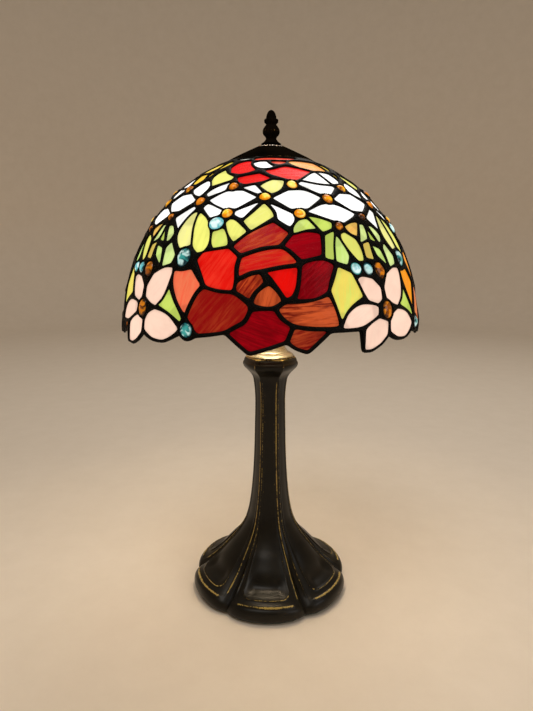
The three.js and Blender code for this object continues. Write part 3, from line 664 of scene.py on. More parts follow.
        (-19.6, 57.4), (-26.4, 58.7), (-30.4, 62.6), (-29.2, 65.8)]),
    "crown_2": ("crown_rose", "vermilion", "coral", 0.5, 10, GLAZED, [
        (-19.6, 55.4), (-12.1, 56.7), (-7.1, 57.5), (-0.4, 54.8), (-4.2, 53.2), (-13.7, 51.7),
        (-17.5, 53)]),
    "crown_3": ("crown_rose", "vermilion", "coral", 0.8, 5, GLAZED, [
        (-3.7, 59.4), (1.7, 60.2), (6.2, 61.6), (10.8, 62.6), (15.8, 61.8), (27.3, 60), (20, 56.4),
        (15, 54.2), (11.7, 53.7), (3.3, 55.9), (-0.8, 57.3)]),
    "crown_white": ("crown", "snow", "milk", 0.5, 0, GLAZED, [
        (-14.4, 65.8), (-10, 67), (-4.2, 67), (-1.8, 64.6), (1.8, 62.3), (-1.2, 61.1), (-6.7, 61),
        (-10.8, 62.5)]),
    "crown_4": ("crown_rose", "coral", "salmon", 0.7, 10, GLAZED, [
        (-0.6, 66.8), (6, 67.2), (12.9, 66.9), (10.8, 65.2), (5.6, 63.7), (1.8, 64.8)]),
    "crown_5": ("crown_rose", "coral", "salmon", 0.5, 0, GLAZED, [
        (-15.4, 68.3), (-13.6, 67.9), (-9, 68.1), (0, 68.2), (10, 68.2), (15.6, 68.4), (20.4, 69.1),
        (25, 70.2), (28.5, 71.7), (10, 71.8), (-10, 71.8), (-16.6, 71), (-16.9, 69.4)]),
    "crown_6": ("crown_rose", "peach", "gold", 0.6, 0, GLAZED, [
        (14.8, 65.5), (16.2, 67.4), (20, 68), (28, 68.3), (36, 68.2), (43.4, 68), (44.4, 65),
        (44.3, 62.5), (42.6, 61), (38, 60.5), (30, 60.2), (24, 60.9), (19, 62.8)]),
    "crown_7": ("crown_gold", "gold", "honey", 0.6, 20, GLAZED, [
        (45.6, 59.8), (45.6, 57.4), (46.4, 55.8), (47.8, 57), (48.7, 58.6), (48.3, 59.9)]),
    "crown_8": ("crown", "milk", "snow", 0.5, 0, GLAZED, [
        (47.5, 71.6), (51, 70.8), (55, 69.9), (60, 69.1), (64, 68.9), (68.4, 69.2), (71.2, 70.2),
        (71.6, 71.6), (60, 71.8)]),
    "crown_9": ("crown_gold", "gold", "lemon", 0.6, 10, GLAZED, [
        (45.8, 68.8), (49.2, 68.8), (52.6, 68), (54.6, 66.4), (53.8, 64.8), (52, 63.2), (49.6, 61.7),
        (46.4, 61.2), (46.2, 64.5)]),
}

# Cabochons: place on the dome, half width, half height, tilt, body tint, edge tint, heart tint.
JEWELS = {
    "blue_jewel": (58.2, 26.0, 6.5, 7.7, -8, "teal", "deep_teal", "ice"),
    "blossom_jewel": (41.7, 11.2, 5.9, 7.4, 0, "brown", "umber", "amber"),
    "rim_stone": (62.9, 6.3, 5.6, 5.6, 0, "teal", "deep_teal", "ice"),
    "amber_drop": (41.0, 22.4, 5.7, 6.9, 18, "brown", "umber", "amber"),
    "teal_stone_left": (30.0, 22.9, 5.0, 4.6, -25, "sky", "teal", "pearl"),
    "teal_stone_right": (35.3, 22.8, 4.7, 5.2, 20, "sky", "deep_teal", "ice"),
    "pearl_stone": (68.5, 36.4, 6.1, 5.5, 0, "ice", "sky", "pearl"),
    "daisy_centre_1": (72.1, 39.7, 4.2, 4.1, 0, "bright_amber", "amber", "lemon"),
    "daisy_centre_2": (11.7, 39.6, 4.4, 4.2, 0, "bright_amber", "amber", "lemon"),
    "brown_stone_1": (27.2, 35.6, 3.6, 3.9, 0, "brown", "umber", "amber"),
    "brown_stone_2": (41.8, 39.3, 3.8, 3.4, 0, "brown", "umber", "amber"),
    "daisy_centre_3": (-2.7, 45.8, 4.2, 3.8, 0, "bright_amber", "amber", "lemon"),
    "daisy_centre_4": (26.8, 45.6, 4.4, 4.8, 0, "amber", "brown", "bright_amber"),
    "daisy_centre_5": (56.0, 44.7, 4.4, 4.2, 0, "amber", "brown", "amber"),
    "daisy_centre_6": (-19.2, 50.6, 3.9, 4.3, 0, "amber", "brown", "amber"),
    "daisy_centre_7": (10.8, 51.3, 4.1, 4.8, 0, "bright_amber", "amber", "lemon"),
    "daisy_centre_8": (40.2, 50.9, 4.3, 4.3, 0, "amber", "brown", "bright_amber"),
}

# The rose of every second repeat is orange, and so are its sepal and the crown above it.
OTHER_ROSE = {
    "scarlet": "orange", "red": "gold", "crimson": "tangerine", "garnet": "tangerine",
    "wine": "tangerine", "blood": "rust", "ember": "gold", "rust": "honey", "bark": "rust",
    "salmon": "orange", "coral": "tangerine", "vermilion": "lemon", "peach": "gold",
}

RIM = [
    (-29.8, 5.2), (-28.6, 4.0), (-27.1, 3.6), (-25.6, 4.0), (-24.4, 4.7), (-19.2, 5.3), (-14, 6.1),
    (-10.3, 3.4), (-6.5, 0.7), (-0.6, 2.2), (4.9, 3.8), (7.6, 2.2), (11.4, 1.0), (15.4, 3.9),
    (18.8, 6.4), (24, 6.4), (29.8, 6.4), (30.2, 3.4), (30.6, 0.5), (34.2, 0.4), (38.4, 1.8),
    (42.5, 4.4), (44.8, 3.3), (47.1, 2.7), (50.2, 2.5), (53.3, 2.6), (57, 3.9),
]

SPACING = 1.6
CAME_HALF = 1.85
GLASS_GAP = 1.9
GLASS_GROW = 0.3
JEWEL_GAP = 1.4
RIM_GAP = 1.3


def jewel_loop(around, up, wide, tall, tilt_deg):
    """The outline of a cabochon on the map."""
    centre = to_map([(around, up)])
    size = scale_at(centre)[0]
    steps = np.radians(np.arange(0, 360, 15))
    x = wide * np.cos(steps) / size
    y = tall * np.sin(steps) / size
    lean = math.radians(tilt_deg)
    across = x * math.cos(lean) - y * math.sin(lean)
    upward = x * math.sin(lean) + y * math.cos(lean)
    return centre + np.column_stack([across, upward])


def segments(loops):
    """The starts and the ends of all the edges of some loops."""
    starts = np.vstack(loops)
    ends = np.vstack([np.roll(loop, -1, axis=0) for loop in loops])
    return starts, ends


def near_loops(loop, others, reach):
    """The other loops whose box comes within reach of this loop's box."""
    low = loop.min(axis=0) - reach
    high = loop.max(axis=0) + reach
    return [o for o in others if (o.max(axis=0) > low).all() and (o.min(axis=0) < high).all()]


def with_copies(loops):
    """Loops of one repeat, with their copies in the repeats on both sides."""
    return [loop + (turn * MAP_TURN, 0) for turn in (-1, 0, 1) for loop in loops]


def in_stones(loop, stones):
    """Which points of the loop lie well inside the nearest stone."""
    centres = np.array([stone.mean(axis=0) for stone in stones])
    radius = np.array([np.linalg.norm(stone - stone.mean(axis=0), axis=1).min() for stone in stones])
    pick = np.argmin(((loop[:, None] - centres[None]) ** 2).sum(axis=2), axis=1)
    return np.linalg.norm(loop - centres[pick], axis=1) < radius[pick] * 0.98


def pushed(loop, starts, ends, wrong, gap, share):
    """The loop moved off some edges until it clears them by gap; wrong marks points on their far side."""
    far, where, _ = nearest(loop, starts, ends)
    away = (loop - where) / np.maximum(far, 1e-6)[:, None]
    away[wrong] *= -1
    far = np.where(wrong, -far, far)
    return loop + away * (np.maximum(gap - far, 0) * share)[:, None]


def draw_glass():
    """The outline of every piece of one repeat, kept clear of its neighbours and of the jewels."""
    names = list(PATTERN)
    loops = []
    for name in names:
        *_, is_line, points = PATTERN[name]
        size = float(np.mean(scale_at(to_map(points))))
        loop = curved_loop(points, SPACING / size)
        loop = shrunk(loop, CAME_HALF / size) if is_line else grown(loop, GLASS_GROW / size)
        loop = spaced(loop, SPACING / size)
        loops.append(loop)
    stones = with_copies([jewel_loop(*JEWELS[name][:5]) for name in JEWELS])
    rim = np.vstack(with_copies([rim_curve()]))
    for _ in range(4):
        moved = []
        for i, loop in enumerate(loops):
            size = float(np.mean(scale_at(loop)))
            others = with_copies(loops[:i] + loops[i + 1:])
            others += [loops[i] - (MAP_TURN, 0), loops[i] + (MAP_TURN, 0)]
            for group, gap, share in ((others, GLASS_GAP, 0.5), (stones, JEWEL_GAP, 1.0)):
                close = near_loops(loop, group, gap / size)
                if close:
                    wrong = in_stones(loop, close) if group is stones else np.zeros(len(loop), bool)
                    loop = pushed(loop, *segments(close), wrong, gap / size, share)
            below = loop[:, 1] < np.interp(loop[:, 0], rim[:, 0], rim[:, 1])
            loop = pushed(loop, rim[:-1], rim[1:], below, RIM_GAP / size, 1.0)
            moved.append(eased(loop, 0.02))
        loops = moved
    return dict(zip(names, [spaced(loop, SPACING / float(np.mean(scale_at(loop)))) for loop in loops]))


def rim_curve():
    """The rim of one repeat on the map, evenly spaced, up to just before the next repeat."""
    p = to_map(RIM + [(RIM[0][0] + REPEAT_DEG, RIM[0][1])])
    along = np.concatenate([[0], np.cumsum(np.linalg.norm(np.diff(p, axis=0), axis=1))])
    at = np.linspace(0, along[-1], int(along[-1] / SPACING), endpoint=False)
    rim = np.column_stack([np.interp(at, along, p[:, 0]), np.interp(at, along, p[:, 1])])
    for _ in range(2):
        ahead = np.roll(rim, -1, axis=0)
        ahead[-1] += (MAP_TURN, 0)
        behind = np.roll(rim, 1, axis=0)
        behind[0] -= (MAP_TURN, 0)
        rim = 0.5 * rim + 0.25 * (ahead + behind)
    return rim


def fill_points(spacing, dice):
    """Points spread evenly over one repeat, the same in every repeat."""
    made = []
    up = -1.0
    row = 0
    while up < CROWN_TOP:
        angle = math.radians(up)
        count = max(6, round(DOME_RADIUS * math.cos(angle) * math.radians(REPEAT_DEG) / spacing))
        for i in range(count):
            share = (i + 0.5 * (row % 2) + dice.uniform(-0.12, 0.12)) / count
            made.append((FIRST_DEG + share * REPEAT_DEG, up + dice.uniform(-0.1, 0.1) * spacing / 2.7))
        rate = math.hypot(DOME_RADIUS * math.sin(angle), DOME_RISE * math.cos(angle))
        up += math.degrees(spacing * 0.87 / rate)
        row += 1
    return to_map(made)


def inside_loop(points, loop):
    """Which points lie inside the loop."""
    x, y = points[:, 0][:, None], points[:, 1][:, None]
    x1, y1 = loop[:, 0][None], loop[:, 1][None]
    x2, y2 = np.roll(loop[:, 0], -1)[None], np.roll(loop[:, 1], -1)[None]
    over = (y1 > y) != (y2 > y)
    cross = x < (x2 - x1) * (y - y1) / np.where(np.abs(y2 - y1) < 1e-12, 1e-12, y2 - y1) + x1
    return (np.sum(over & cross, axis=1) % 2) == 1


dice = random.Random(7)
glass_loops = draw_glass()
stone_loops = {name: jewel_loop(*JEWELS[name][:5]) for name in JEWELS}
all_names = list(glass_loops) + list(stone_loops)
base_loops = [glass_loops[n] for n in glass_loops] + [stone_loops[n] for n in stone_loops]
every_loop = with_copies(base_loops)
seg_starts, seg_ends = segments(every_loop)

# Points on the shoulders of the lead, set back from each outline by these distances.
SHOULDERS = (0.45, 1.15)
shoulder = []
for set_back in SHOULDERS:
    for loop in base_loops:
        size = scale_at(loop)
        ring = loop + outward(loop) * (set_back / size)[:, None]
        far = nearest(ring, seg_starts, seg_ends)[0] * size
        keep = far > set_back * 0.86
        shoulder.append(ring[keep])
shoulder = np.vstack(shoulder)

LEAD_FILL = 2.9
GLASS_FILL = 6.5
fine_fill = fill_points(LEAD_FILL, dice)
coarse_fill = fill_points(GLASS_FILL, dice)
fine_far = nearest(fine_fill, seg_starts, seg_ends)[0] * scale_at(fine_fill)
coarse_far = nearest(coarse_fill, seg_starts, seg_ends)[0] * scale_at(coarse_fill)
in_glass_fine = np.zeros(len(fine_fill), bool)
in_glass_coarse = np.zeros(len(coarse_fill), bool)
for loop in every_loop:
    in_glass_fine |= inside_loop(fine_fill, loop)
    in_glass_coarse |= inside_loop(coarse_fill, loop)
lead_fill = fine_fill[~in_glass_fine & (fine_far > 1.9)]
glass_fill = coarse_fill[in_glass_coarse & (coarse_far > 2.6)]
free_points = np.vstack([shoulder, lead_fill, glass_fill])

# One triangulation of a repeat and a margin on both sides of it.
MARGIN_DEG = 24
window = (DOME_RADIUS * math.radians(FIRST_DEG - MARGIN_DEG),
          DOME_RADIUS * math.radians(FIRST_DEG + REPEAT_DEG + MARGIN_DEG))
rim_row = rim_curve()
top_height = float(to_map([(0, CROWN_TOP)])[0, 1])
top_count = 60
top_degrees = FIRST_DEG + REPEAT_DEG * (np.arange(top_count) + 0.37) / top_count
top_row = np.column_stack([DOME_RADIUS * np.radians(top_degrees), np.full(top_count, top_height)])
cdt_points = []
cdt_edges = []
cdt_faces = []
face_owner = []


def add_points(rows):
    """Puts points into the triangulation and gives the number of the first."""
    first = len(cdt_points)
    cdt_points.extend(rows.tolist())
    return first


for turn in (-1, 0, 1):
    for name, loop in zip(all_names, base_loops):
        placed = loop + (turn * MAP_TURN, 0)
        if placed[:, 0].max() > window[0] and placed[:, 0].min() < window[1]:
            first = add_points(placed)
            cdt_faces.append(list(range(first, first + len(placed))))
            face_owner.append((name, turn))
for row in (rim_row, top_row):
    long_row = np.vstack([row + (turn * MAP_TURN, 0) for turn in (-1, 0, 1)])
    long_row = long_row[(long_row[:, 0] > window[0]) & (long_row[:, 0] < window[1])]
    first = add_points(long_row)
    cdt_edges += [(first + i, first + i + 1) for i in range(len(long_row) - 1)]
long_free = np.vstack([free_points + (turn * MAP_TURN, 0) for turn in (-1, 0, 1)])
rim_long = np.vstack([rim_row + (turn * MAP_TURN, 0) for turn in (-2, -1, 0, 1, 2)])
above_rim = long_free[:, 1] > np.interp(long_free[:, 0], rim_long[:, 0], rim_long[:, 1]) + 0.8
in_window = (long_free[:, 0] > window[0]) & (long_free[:, 0] < window[1])
below_top = long_free[:, 1] < top_height - 1.5
add_points(long_free[above_rim & in_window & below_top])

verts_2d, _, tris, _, _, tri_sources = geometry.delaunay_2d_cdt(
    [Vector(p) for p in cdt_points], cdt_edges, cdt_faces, 0, 1e-5, True)
verts_2d = np.array([tuple(v) for v in verts_2d])
tris = np.array([list(t) for t in tris])
centres = verts_2d[tris].mean(axis=1)
owner_of = [face_owner[s[0]] if s else None for s in tri_sources]

# ---------------------------------------------------------------- leadwork

LEAD_EDGE_DEPTH = 0.35
LEAD_CREST = 1.35
LEAD_BACK_DEPTH = 2.75
LEAD_BACK_CREST = 0.9
ROUND_OVER = 1.7


def closed_plate(front, count):
    """Front triangles, the same ones `count` points further on as the back, and walls along the edges."""
    border = {}
    for face in front:
        for a, b in ((face[0], face[1]), (face[1], face[2]), (face[2], face[0])):
            if (b, a) in border:
                del border[(b, a)]
            else:
                border[(a, b)] = True
    back = [tuple(v + count for v in reversed(face)) for face in front]
    return front + back + [(b, a, a + count, b + count) for a, b in border]


def lead_sheet():
    """All the lead between the glass, front and back, as one closed body round the whole dome."""
    first_x = DOME_RADIUS * math.radians(FIRST_DEG)
    inside = (centres[:, 0] >= first_x) & (centres[:, 0] < first_x + MAP_TURN)
    inside &= centres[:, 1] > np.interp(centres[:, 0], rim_long[:, 0], rim_long[:, 1])
    inside &= centres[:, 1] < top_height
    chosen = tris[np.array([i for i in np.flatnonzero(inside) if owner_of[i] is None])]
    used = np.unique(chosen)
    far = np.zeros(len(verts_2d))
    far[used] = nearest(verts_2d[used], seg_starts, seg_ends)[0] * scale_at(verts_2d[used])
    far[far < 0.02] = 0
    stone_starts, stone_ends = segments(with_copies([stone_loops[n] for n in stone_loops]))
    bezel = np.full(len(verts_2d), 99.0)
    bezel[used] = nearest(verts_2d[used], stone_starts, stone_ends)[0] * scale_at(verts_2d[used])
    share = 1 - np.minimum(far, ROUND_OVER) / ROUND_OVER
    swell = np.sqrt(np.maximum(1 - share ** 2, 0))
    setting = 0.75 * np.exp(-((bezel - 1.0) / 0.75) ** 2)
    front_depth = LEAD_EDGE_DEPTH - LEAD_CREST * swell - setting
    back_depth = LEAD_BACK_DEPTH + LEAD_BACK_CREST * swell
    keys = {}
    flat, fronts, backs, remap = [], [], [], {}
    period = MAP_TURN * REPEATS
    faces = []
    for turn in range(REPEATS):
        for index in used:
            x = (verts_2d[index, 0] + turn * MAP_TURN) % period
            key = (round(x * 500) % round(period * 500), round(verts_2d[index, 1] * 500))
            if key not in keys:
                keys[key] = len(flat)
                flat.append((x, verts_2d[index, 1]))
                fronts.append(front_depth[index])
                backs.append(back_depth[index])
            remap[(turn, index)] = keys[key]
        faces += [tuple(remap[(turn, v)] for v in tri) for tri in chosen]
    count = len(flat)
    flat = np.array(flat)
    points = np.vstack([on_dome(flat, np.array(fronts)), on_dome(flat, np.array(backs))])
    return points, closed_plate(faces, count)


lead_points, lead_faces = lead_sheet()
make_piece("leadwork", lead_points, lead_faces, LEAD, "shade", "lead_came", sharp=60)

RIM_RADIUS = 1.35
RIM_DEPTH = 1.5
RIM_SIDES = 10


def rim_bead():
    """A half-hard wire soldered round the scalloped rim."""
    path = np.vstack([rim_row + (turn * MAP_TURN, 0) for turn in range(REPEATS)])
    middle = on_dome(path, RIM_DEPTH)
    out = on_dome(path, RIM_DEPTH - 1) - middle
    ahead = np.roll(middle, -1, axis=0) - np.roll(middle, 1, axis=0)
    ahead /= np.linalg.norm(ahead, axis=1)[:, None]
    side = np.cross(ahead, out)
    side /= np.linalg.norm(side, axis=1)[:, None]
    points = []
    for i in range(len(path)):
        for k in range(RIM_SIDES):
            angle = 2 * math.pi * k / RIM_SIDES
            spoke = math.cos(angle) * out[i] + 1.1 * math.sin(angle) * side[i]
            points.append(middle[i] + RIM_RADIUS * spoke)
    return points, ring_faces(len(path), RIM_SIDES, loop=True)


make_piece("rim_bead", *rim_bead(), LEAD, "shade", "lead_came",
           [f"rim_came_{k}" for k in range(1, REPEATS + 1)], sharp=80)

# ---------------------------------------------------------------- glass

GLASS_FRONT = 0.55
GLASS_BACK = 2.6
TUCK = 0.45
FIELD_OF = {"rose": "rose", "blossom": "blossom", "leaf_of_next": "blossom", "leaf": "leaf", "daisy": "daisy",
            "crown": "crown", "crown_rose": "crown", "crown_gold": "crown", "crown_white": "crown"}
SLOT_OF = {"rose": "red_glass", "blossom": "pink_glass", "leaf": "leaf_glass", "daisy": "white_glass",
           "crown": "crown_glass"}
pieces_of = {name: [] for name in PATTERN}
for i, owner in enumerate(owner_of):
    if owner and owner[1] == 0 and owner[0] in pieces_of:
        pieces_of[owner[0]].append(tris[i])


def tints_for(name, repeat):
    """Tint, second tint and its strength for a glass piece in one repeat."""
    group, tint, vein, wisp = PATTERN[name][:4]
    rose_here = repeat + 1 if group == "leaf_of_next" else repeat
    orange = rose_here % 2 == 0 and group in ("rose", "leaf_of_next", "crown_rose")
    if orange:
        tint, vein = OTHER_ROSE.get(tint, tint), OTHER_ROSE.get(vein, vein)
    if orange and group == "crown_rose":
        tint, vein = "gold", "lemon"
    if group == "crown_white" and repeat % 2 == 0:
        tint, vein = "gold", "honey"
    return TINTS[tint], TINTS[vein], wisp


def varied(colour, amount, dice):
    """The colour, a little brighter or darker."""
    bright = 1 + dice.uniform(-amount, amount)
    return tuple(c * bright for c in colour[:3]) + (1,)


def glass_field(field, repeat):
    """All the glass of one field in one repeat: closed plates tucked under the lead."""
    points, faces = [], []
    values = {"tint": [], "vein": [], "streak": [], "wisp": [], "inside": []}
    for name, triangles in pieces_of.items():
        if FIELD_OF[PATTERN[name][0]] != field or not triangles:
            continue
        local = random.Random(f"{name} {repeat}")
        tint, vein, wisp = tints_for(name, repeat)
        tint, vein = varied(tint, 0.05, local), varied(vein, 0.08, local)
        triangles = np.array(triangles)
        used = np.unique(triangles)
        loop = glass_loops[name]
        order = {v: i for i, v in enumerate(used)}
        flat = verts_2d[used].copy()
        far, where, side = nearest(flat, loop, np.roll(loop, -1, axis=0))
        size = float(np.mean(scale_at(flat)))
        on_edge = far < 1e-3
        flat[on_edge] -= side[on_edge] * TUCK / size
        flat[:, 0] += (repeat - 1) * MAP_TURN
        count = len(flat)
        start = len(points)
        points.extend(on_dome(flat, np.full(count, GLASS_FRONT)))
        points.extend(on_dome(flat, np.full(count, GLASS_BACK)))
        front = [tuple(start + order[v] for v in tri) for tri in triangles]
        faces += closed_plate(front, count)
        lean = math.radians(PATTERN[name][4])
        near = (flat - flat.mean(axis=0)) * size
        along = near[:, 0] * math.cos(lean) + near[:, 1] * math.sin(lean)
        across = near[:, 1] * math.cos(lean) - near[:, 0] * math.sin(lean)
        seed = local.uniform(0, 90)
        streaks = [(a, b, seed) for a, b in zip(along, across)]
        # Painted shade: how far each point lies in from the lead, for the darkening of the glow near the
        # edges.
        came_shade_fade = np.minimum(far * size / 3.0, 1.0)
        for _ in range(2):
            values["tint"] += [tint] * count
            values["vein"] += [vein] * count
            values["streak"] += streaks
            values["wisp"] += [wisp] * count
            values["inside"] += came_shade_fade.tolist()
    return points, faces, values


for repeat in range(1, REPEATS + 1):
    for field, slot in SLOT_OF.items():
        points, faces, values = glass_field(field, repeat)
        make_piece(f"{field}_panes_{repeat}", points, faces, GLASS, "shade", slot,
                   [f"{field}_glass_{repeat}"], sharp=50, values=values)

# ---------------------------------------------------------------- jewels

JEWEL_RISE = 3.3
JEWEL_SINK = 2.4
JEWEL_TUCK = 0.25
STONE_SIDES = 28
FRONT_RINGS = 9
BACK_RINGS = 6


def cabochon(name, repeat):
    """A domed stone: a bright rounded front, a flatter back, set in the lead."""
    around, up, wide, tall, lean, *_ = JEWELS[name]
    centre = to_map([(around + (repeat - 1) * REPEAT_DEG, up)])
    middle = on_dome(centre, np.array([LEAD_EDGE_DEPTH + 0.5]))[0]
    normal = on_dome(centre, np.array([-1.0]))[0] - on_dome(centre, np.array([0.0]))[0]
    east = np.cross((0, 0, 1), normal)
    east /= np.linalg.norm(east)
    north = np.cross(normal, east)
    lean = math.radians(lean)
    points, rise = [], []
    for side, height, count in ((1, JEWEL_RISE, FRONT_RINGS), (-1, JEWEL_SINK, BACK_RINGS)):
        for i in range(count):
            share = (i + (0 if side > 0 else 1)) / count * math.pi / 2
            if side > 0:
                share = math.pi / 2 - share
            flat = math.sin(share) if side > 0 else math.cos(share)
            lift = side * height * (math.cos(share) if side > 0 else math.sin(share))
            for k in range(STONE_SIDES):
                angle = 2 * math.pi * k / STONE_SIDES
                x = (wide + JEWEL_TUCK) * flat * math.cos(angle)
                y = (tall + JEWEL_TUCK) * flat * math.sin(angle)
                points.append(middle + east * (x * math.cos(lean) - y * math.sin(lean))
                              + north * (x * math.sin(lean) + y * math.cos(lean)) + normal * lift)
                rise.append(1 - flat ** 1.5 if side > 0 else 0.5)
    return points, rise


def band(lower, upper):
    """Quads between two rings of a stone."""
    return [(lower[k - 1], lower[k], upper[k], upper[k - 1]) for k in range(STONE_SIDES)]


def stone_piece(piece_name, names, repeat, slot, replaced=()):
    """Several cabochons of one repeat as one piece."""
    points, faces = [], []
    values = {"tint": [], "vein": [], "heart": [], "rise": []}
    for name in names:
        tint, edge, heart = [TINTS[key] for key in JEWELS[name][5:]]
        stone, rise = cabochon(name, repeat)
        local = random.Random(f"{name} {repeat}")
        start = len(points)
        rows = [range(start + i * STONE_SIDES, start + (i + 1) * STONE_SIDES)
                for i in range(FRONT_RINGS + BACK_RINGS)]
        front, back = rows[:FRONT_RINGS], [rows[0]] + rows[FRONT_RINGS:]
        top = start + len(stone)
        points.extend(stone)
        points.append(np.mean(stone[(FRONT_RINGS - 1) * STONE_SIDES:FRONT_RINGS * STONE_SIDES], axis=0))
        points.append(np.mean(stone[-STONE_SIDES:], axis=0))
        rise += [1.0, 0.5]
        for lower, upper in zip(front, front[1:]):
            faces += band(lower, upper)
        for upper, lower in zip(back, back[1:]):
            faces += band(lower, upper)
        faces += [(front[-1][k - 1], front[-1][k], top) for k in range(STONE_SIDES)]
        faces += [(back[-1][k], back[-1][k - 1], top + 1) for k in range(STONE_SIDES)]
        count = len(stone) + 2
        values["tint"] += [varied(tint, 0.08, local)] * count
        values["vein"] += [edge] * count
        values["heart"] += [heart] * count
        values["rise"] += rise
    return make_piece(piece_name, points, faces, JEWEL, "shade", slot, replaced, sharp=70, values=values)


for repeat in range(1, REPEATS + 1):
    stone_piece(f"blue_stone_{repeat}", ["blue_jewel"], repeat, "blue_glass", [f"blue_jewel_{repeat}"])
    stone_piece(f"blossom_stone_{repeat}", ["blossom_jewel"], repeat, "amber_glass",
                [f"blossom_jewel_{repeat}"])
    others = [n for n in JEWELS if n not in ("blue_jewel", "blossom_jewel")]
    stone_piece(f"small_stones_{repeat}", others, repeat, "amber_glass")

# ---------------------------------------------------------------- cast foot and stem

# Height and radius in the groove between two lobes, height and radius along a lobe's middle, and how far
# the section is a hexagon instead of a ring of round lobes.
CASTING = [
    (2.3, 73, 2.3, 77, 0), (3.3, 76.3, 3.5, 81.2, 0), (6, 77, 8, 82.5, 0), (9, 75.5, 13.5, 81, 0),
    (12.5, 71, 17, 77, 0), (15.5, 66.3, 19.5, 72.5, 0), (20.5, 60, 24.5, 66, 0), (28, 53, 32, 56.5, 0),
    (36, 47, 40, 48.5, 0.2), (44, 41.5, 47.5, 41.8, 0.4), (50.5, 37.3, 53, 36.2, 0.6),
    (58, 32, 60, 30.8, 0.8), (67.5, 27, 68.5, 26, 1), (77, 23.9, 77, 22.6, 1),
    (90.6, 21.2, 90.6, 19.8, 1), (104, 19.4, 104, 18, 1), (125, 17.6, 125, 16.2, 1),
    (150, 16.4, 150, 15, 1), (180, 15.7, 180, 14.3, 1), (205, 15.4, 205, 14, 1),
    (222.6, 17, 222.6, 15.3, 1), (229, 19.5, 229, 17.2, 1), (233.1, 23.2, 233.1, 20.6, 1),
    (237, 26.9, 237, 24.6, 1), (241, 27.8, 241, 26, 1), (245.2, 26.6, 245.2, 24, 1),
    (248.6, 24.4, 248.6, 21.2, 1),
]
LOBES = 6
HALF_LOBE = math.radians(180 / LOBES)
CASTING_TURN_DEG = -3
PANEL_SHARE = 0.67
PANEL_CORNER = 9.0


def bell(distance, width):
    """1 at no distance, fading to 0 over about twice the width."""
    return math.exp(-(distance / width) ** 2)


def step_up(value, low, high):
    """A smooth rise from 0 at low to 1 at high."""
    share = min(1.0, max(0.0, (value - low) / (high - low)))
    return share * share * (3 - 2 * share)


def lobe_share(off, hexagon):
    """1 along a lobe's middle, 0 in the groove. off runs from -1 to 1 across a lobe."""
    angle = abs(off) * HALF_LOBE
    rounded = 1 - 0.75 * abs(off) ** 3.4 - 0.25 * abs(off) ** 12
    flat = 1 - (1 / math.cos(angle) - 1) / (1 / math.cos(HALF_LOBE) - 1)
    return rounded * (1 - hexagon) + flat * hexagon


def casting_levels():
    """The levels of the casting, close together where it has fine detail."""
    table = np.array(CASTING, dtype=float)
    counts = [3, 5, 6, 7, 8, 9, 10, 8, 7, 6, 6, 6, 6, 6, 6, 6, 6, 7, 7, 6, 5, 5, 5, 5, 5, 4]
    levels = []
    for i, count in enumerate(counts):
        rows = [table[max(0, min(len(table) - 1, i + k))] for k in (-1, 0, 1, 2)]
        levels += [spline(*rows, k / count) for k in range(count)]
    levels.append(table[-1])
    return levels


def lobe_columns():
    """Where the columns of one lobe lie, from -1 to 1, closest near the ribs."""
    half = list(np.linspace(0, 0.58, 10, endpoint=False)) + list(np.linspace(0.58, 1.0, 24))
    return [-x for x in reversed(half[1:])] + half[:-1]


def casting_detail(off, level, run):
    """How far the surface stands out, and how much gold shows, at a place on a lobe.

    run is the length of surface up the lobe's middle from the lower edge of its panel."""
    height, lobe_r = level[2:4]
    width = HALF_LOBE * lobe_r
    side = abs(off)
    out, gold = 0.0, 0.0
    # twin ribs either side of the groove, from the skirt to the neck
    rib_size = 0.95 * step_up(height, 15, 24) * (1 - step_up(height, 222, 231))
    rib_size *= 1 - 0.45 * step_up(height, 60, 90)
    rib = bell((side - 0.86) * width, 0.75)
    out += rib_size * rib
    gold = max(gold, min(1.0, rib_size * 2) * rib * (0.86 if off > 0 else 0.66))
    if height > 62:
        fine = bell((side - 0.62) * width, 0.42) * step_up(height, 62, 76) * (1 - step_up(height, 222, 231))
        out += 0.3 * fine
        gold = max(gold, 0.55 * fine)
    # panel: a rounded plate, dished near its foot, with a thin raised border
    edge = PANEL_SHARE * width
    inward = edge - side * width
    if run > 0:
        out -= 3.4 * bell(run - 13, 8.5) * step_up(run, 0, 3) * step_up(inward, 0, 10)
    if run < PANEL_CORNER and inward < PANEL_CORNER:
        inward = PANEL_CORNER - math.hypot(max(0.0, PANEL_CORNER - inward), PANEL_CORNER - run)
    else:
        inward = min(inward, run)
    fade = 1 - step_up(height, 55, 78)
    out += fade * (0.75 * step_up(inward, -0.6, 0.8) + 0.55 * bell(inward - 0.3, 0.55))
    gold = max(gold, fade * bell(inward - 0.35, 0.9) * (0.8 if run < 4 else 0.58))
    # bead line that crowns the skirt
    arc = 1 - step_up(side, 0.66, 0.8)
    bead = bell(run + 6.3, 0.9) * arc
    out += 0.85 * bead
    gold = max(gold, 0.84 * bell(run + 6.2, 1.8) * arc)
    # collar at the neck
    if height > 229:
        lip = bell(height - 247.6, 1.3)
        gold = max(gold, 0.95 * lip, 0.8 * bell(height - 240.6, 3.5) * bell((1 - side) * width, 0.9))
        out += 0.35 * bell(height - 240.8, 2.4) * bell((1 - side) * width, 1.0)
        out -= 0.5 * bell(height - 243.6, 0.7)
        # Gold across the middle of each facet: partly worn gilt, partly a painted highlight of the bulb's
        # light.
        gold = max(gold, 0.5 * bell(height - 240.5, 2.6) * (1 - step_up(side, 0.6, 0.9)))
    return out, gold


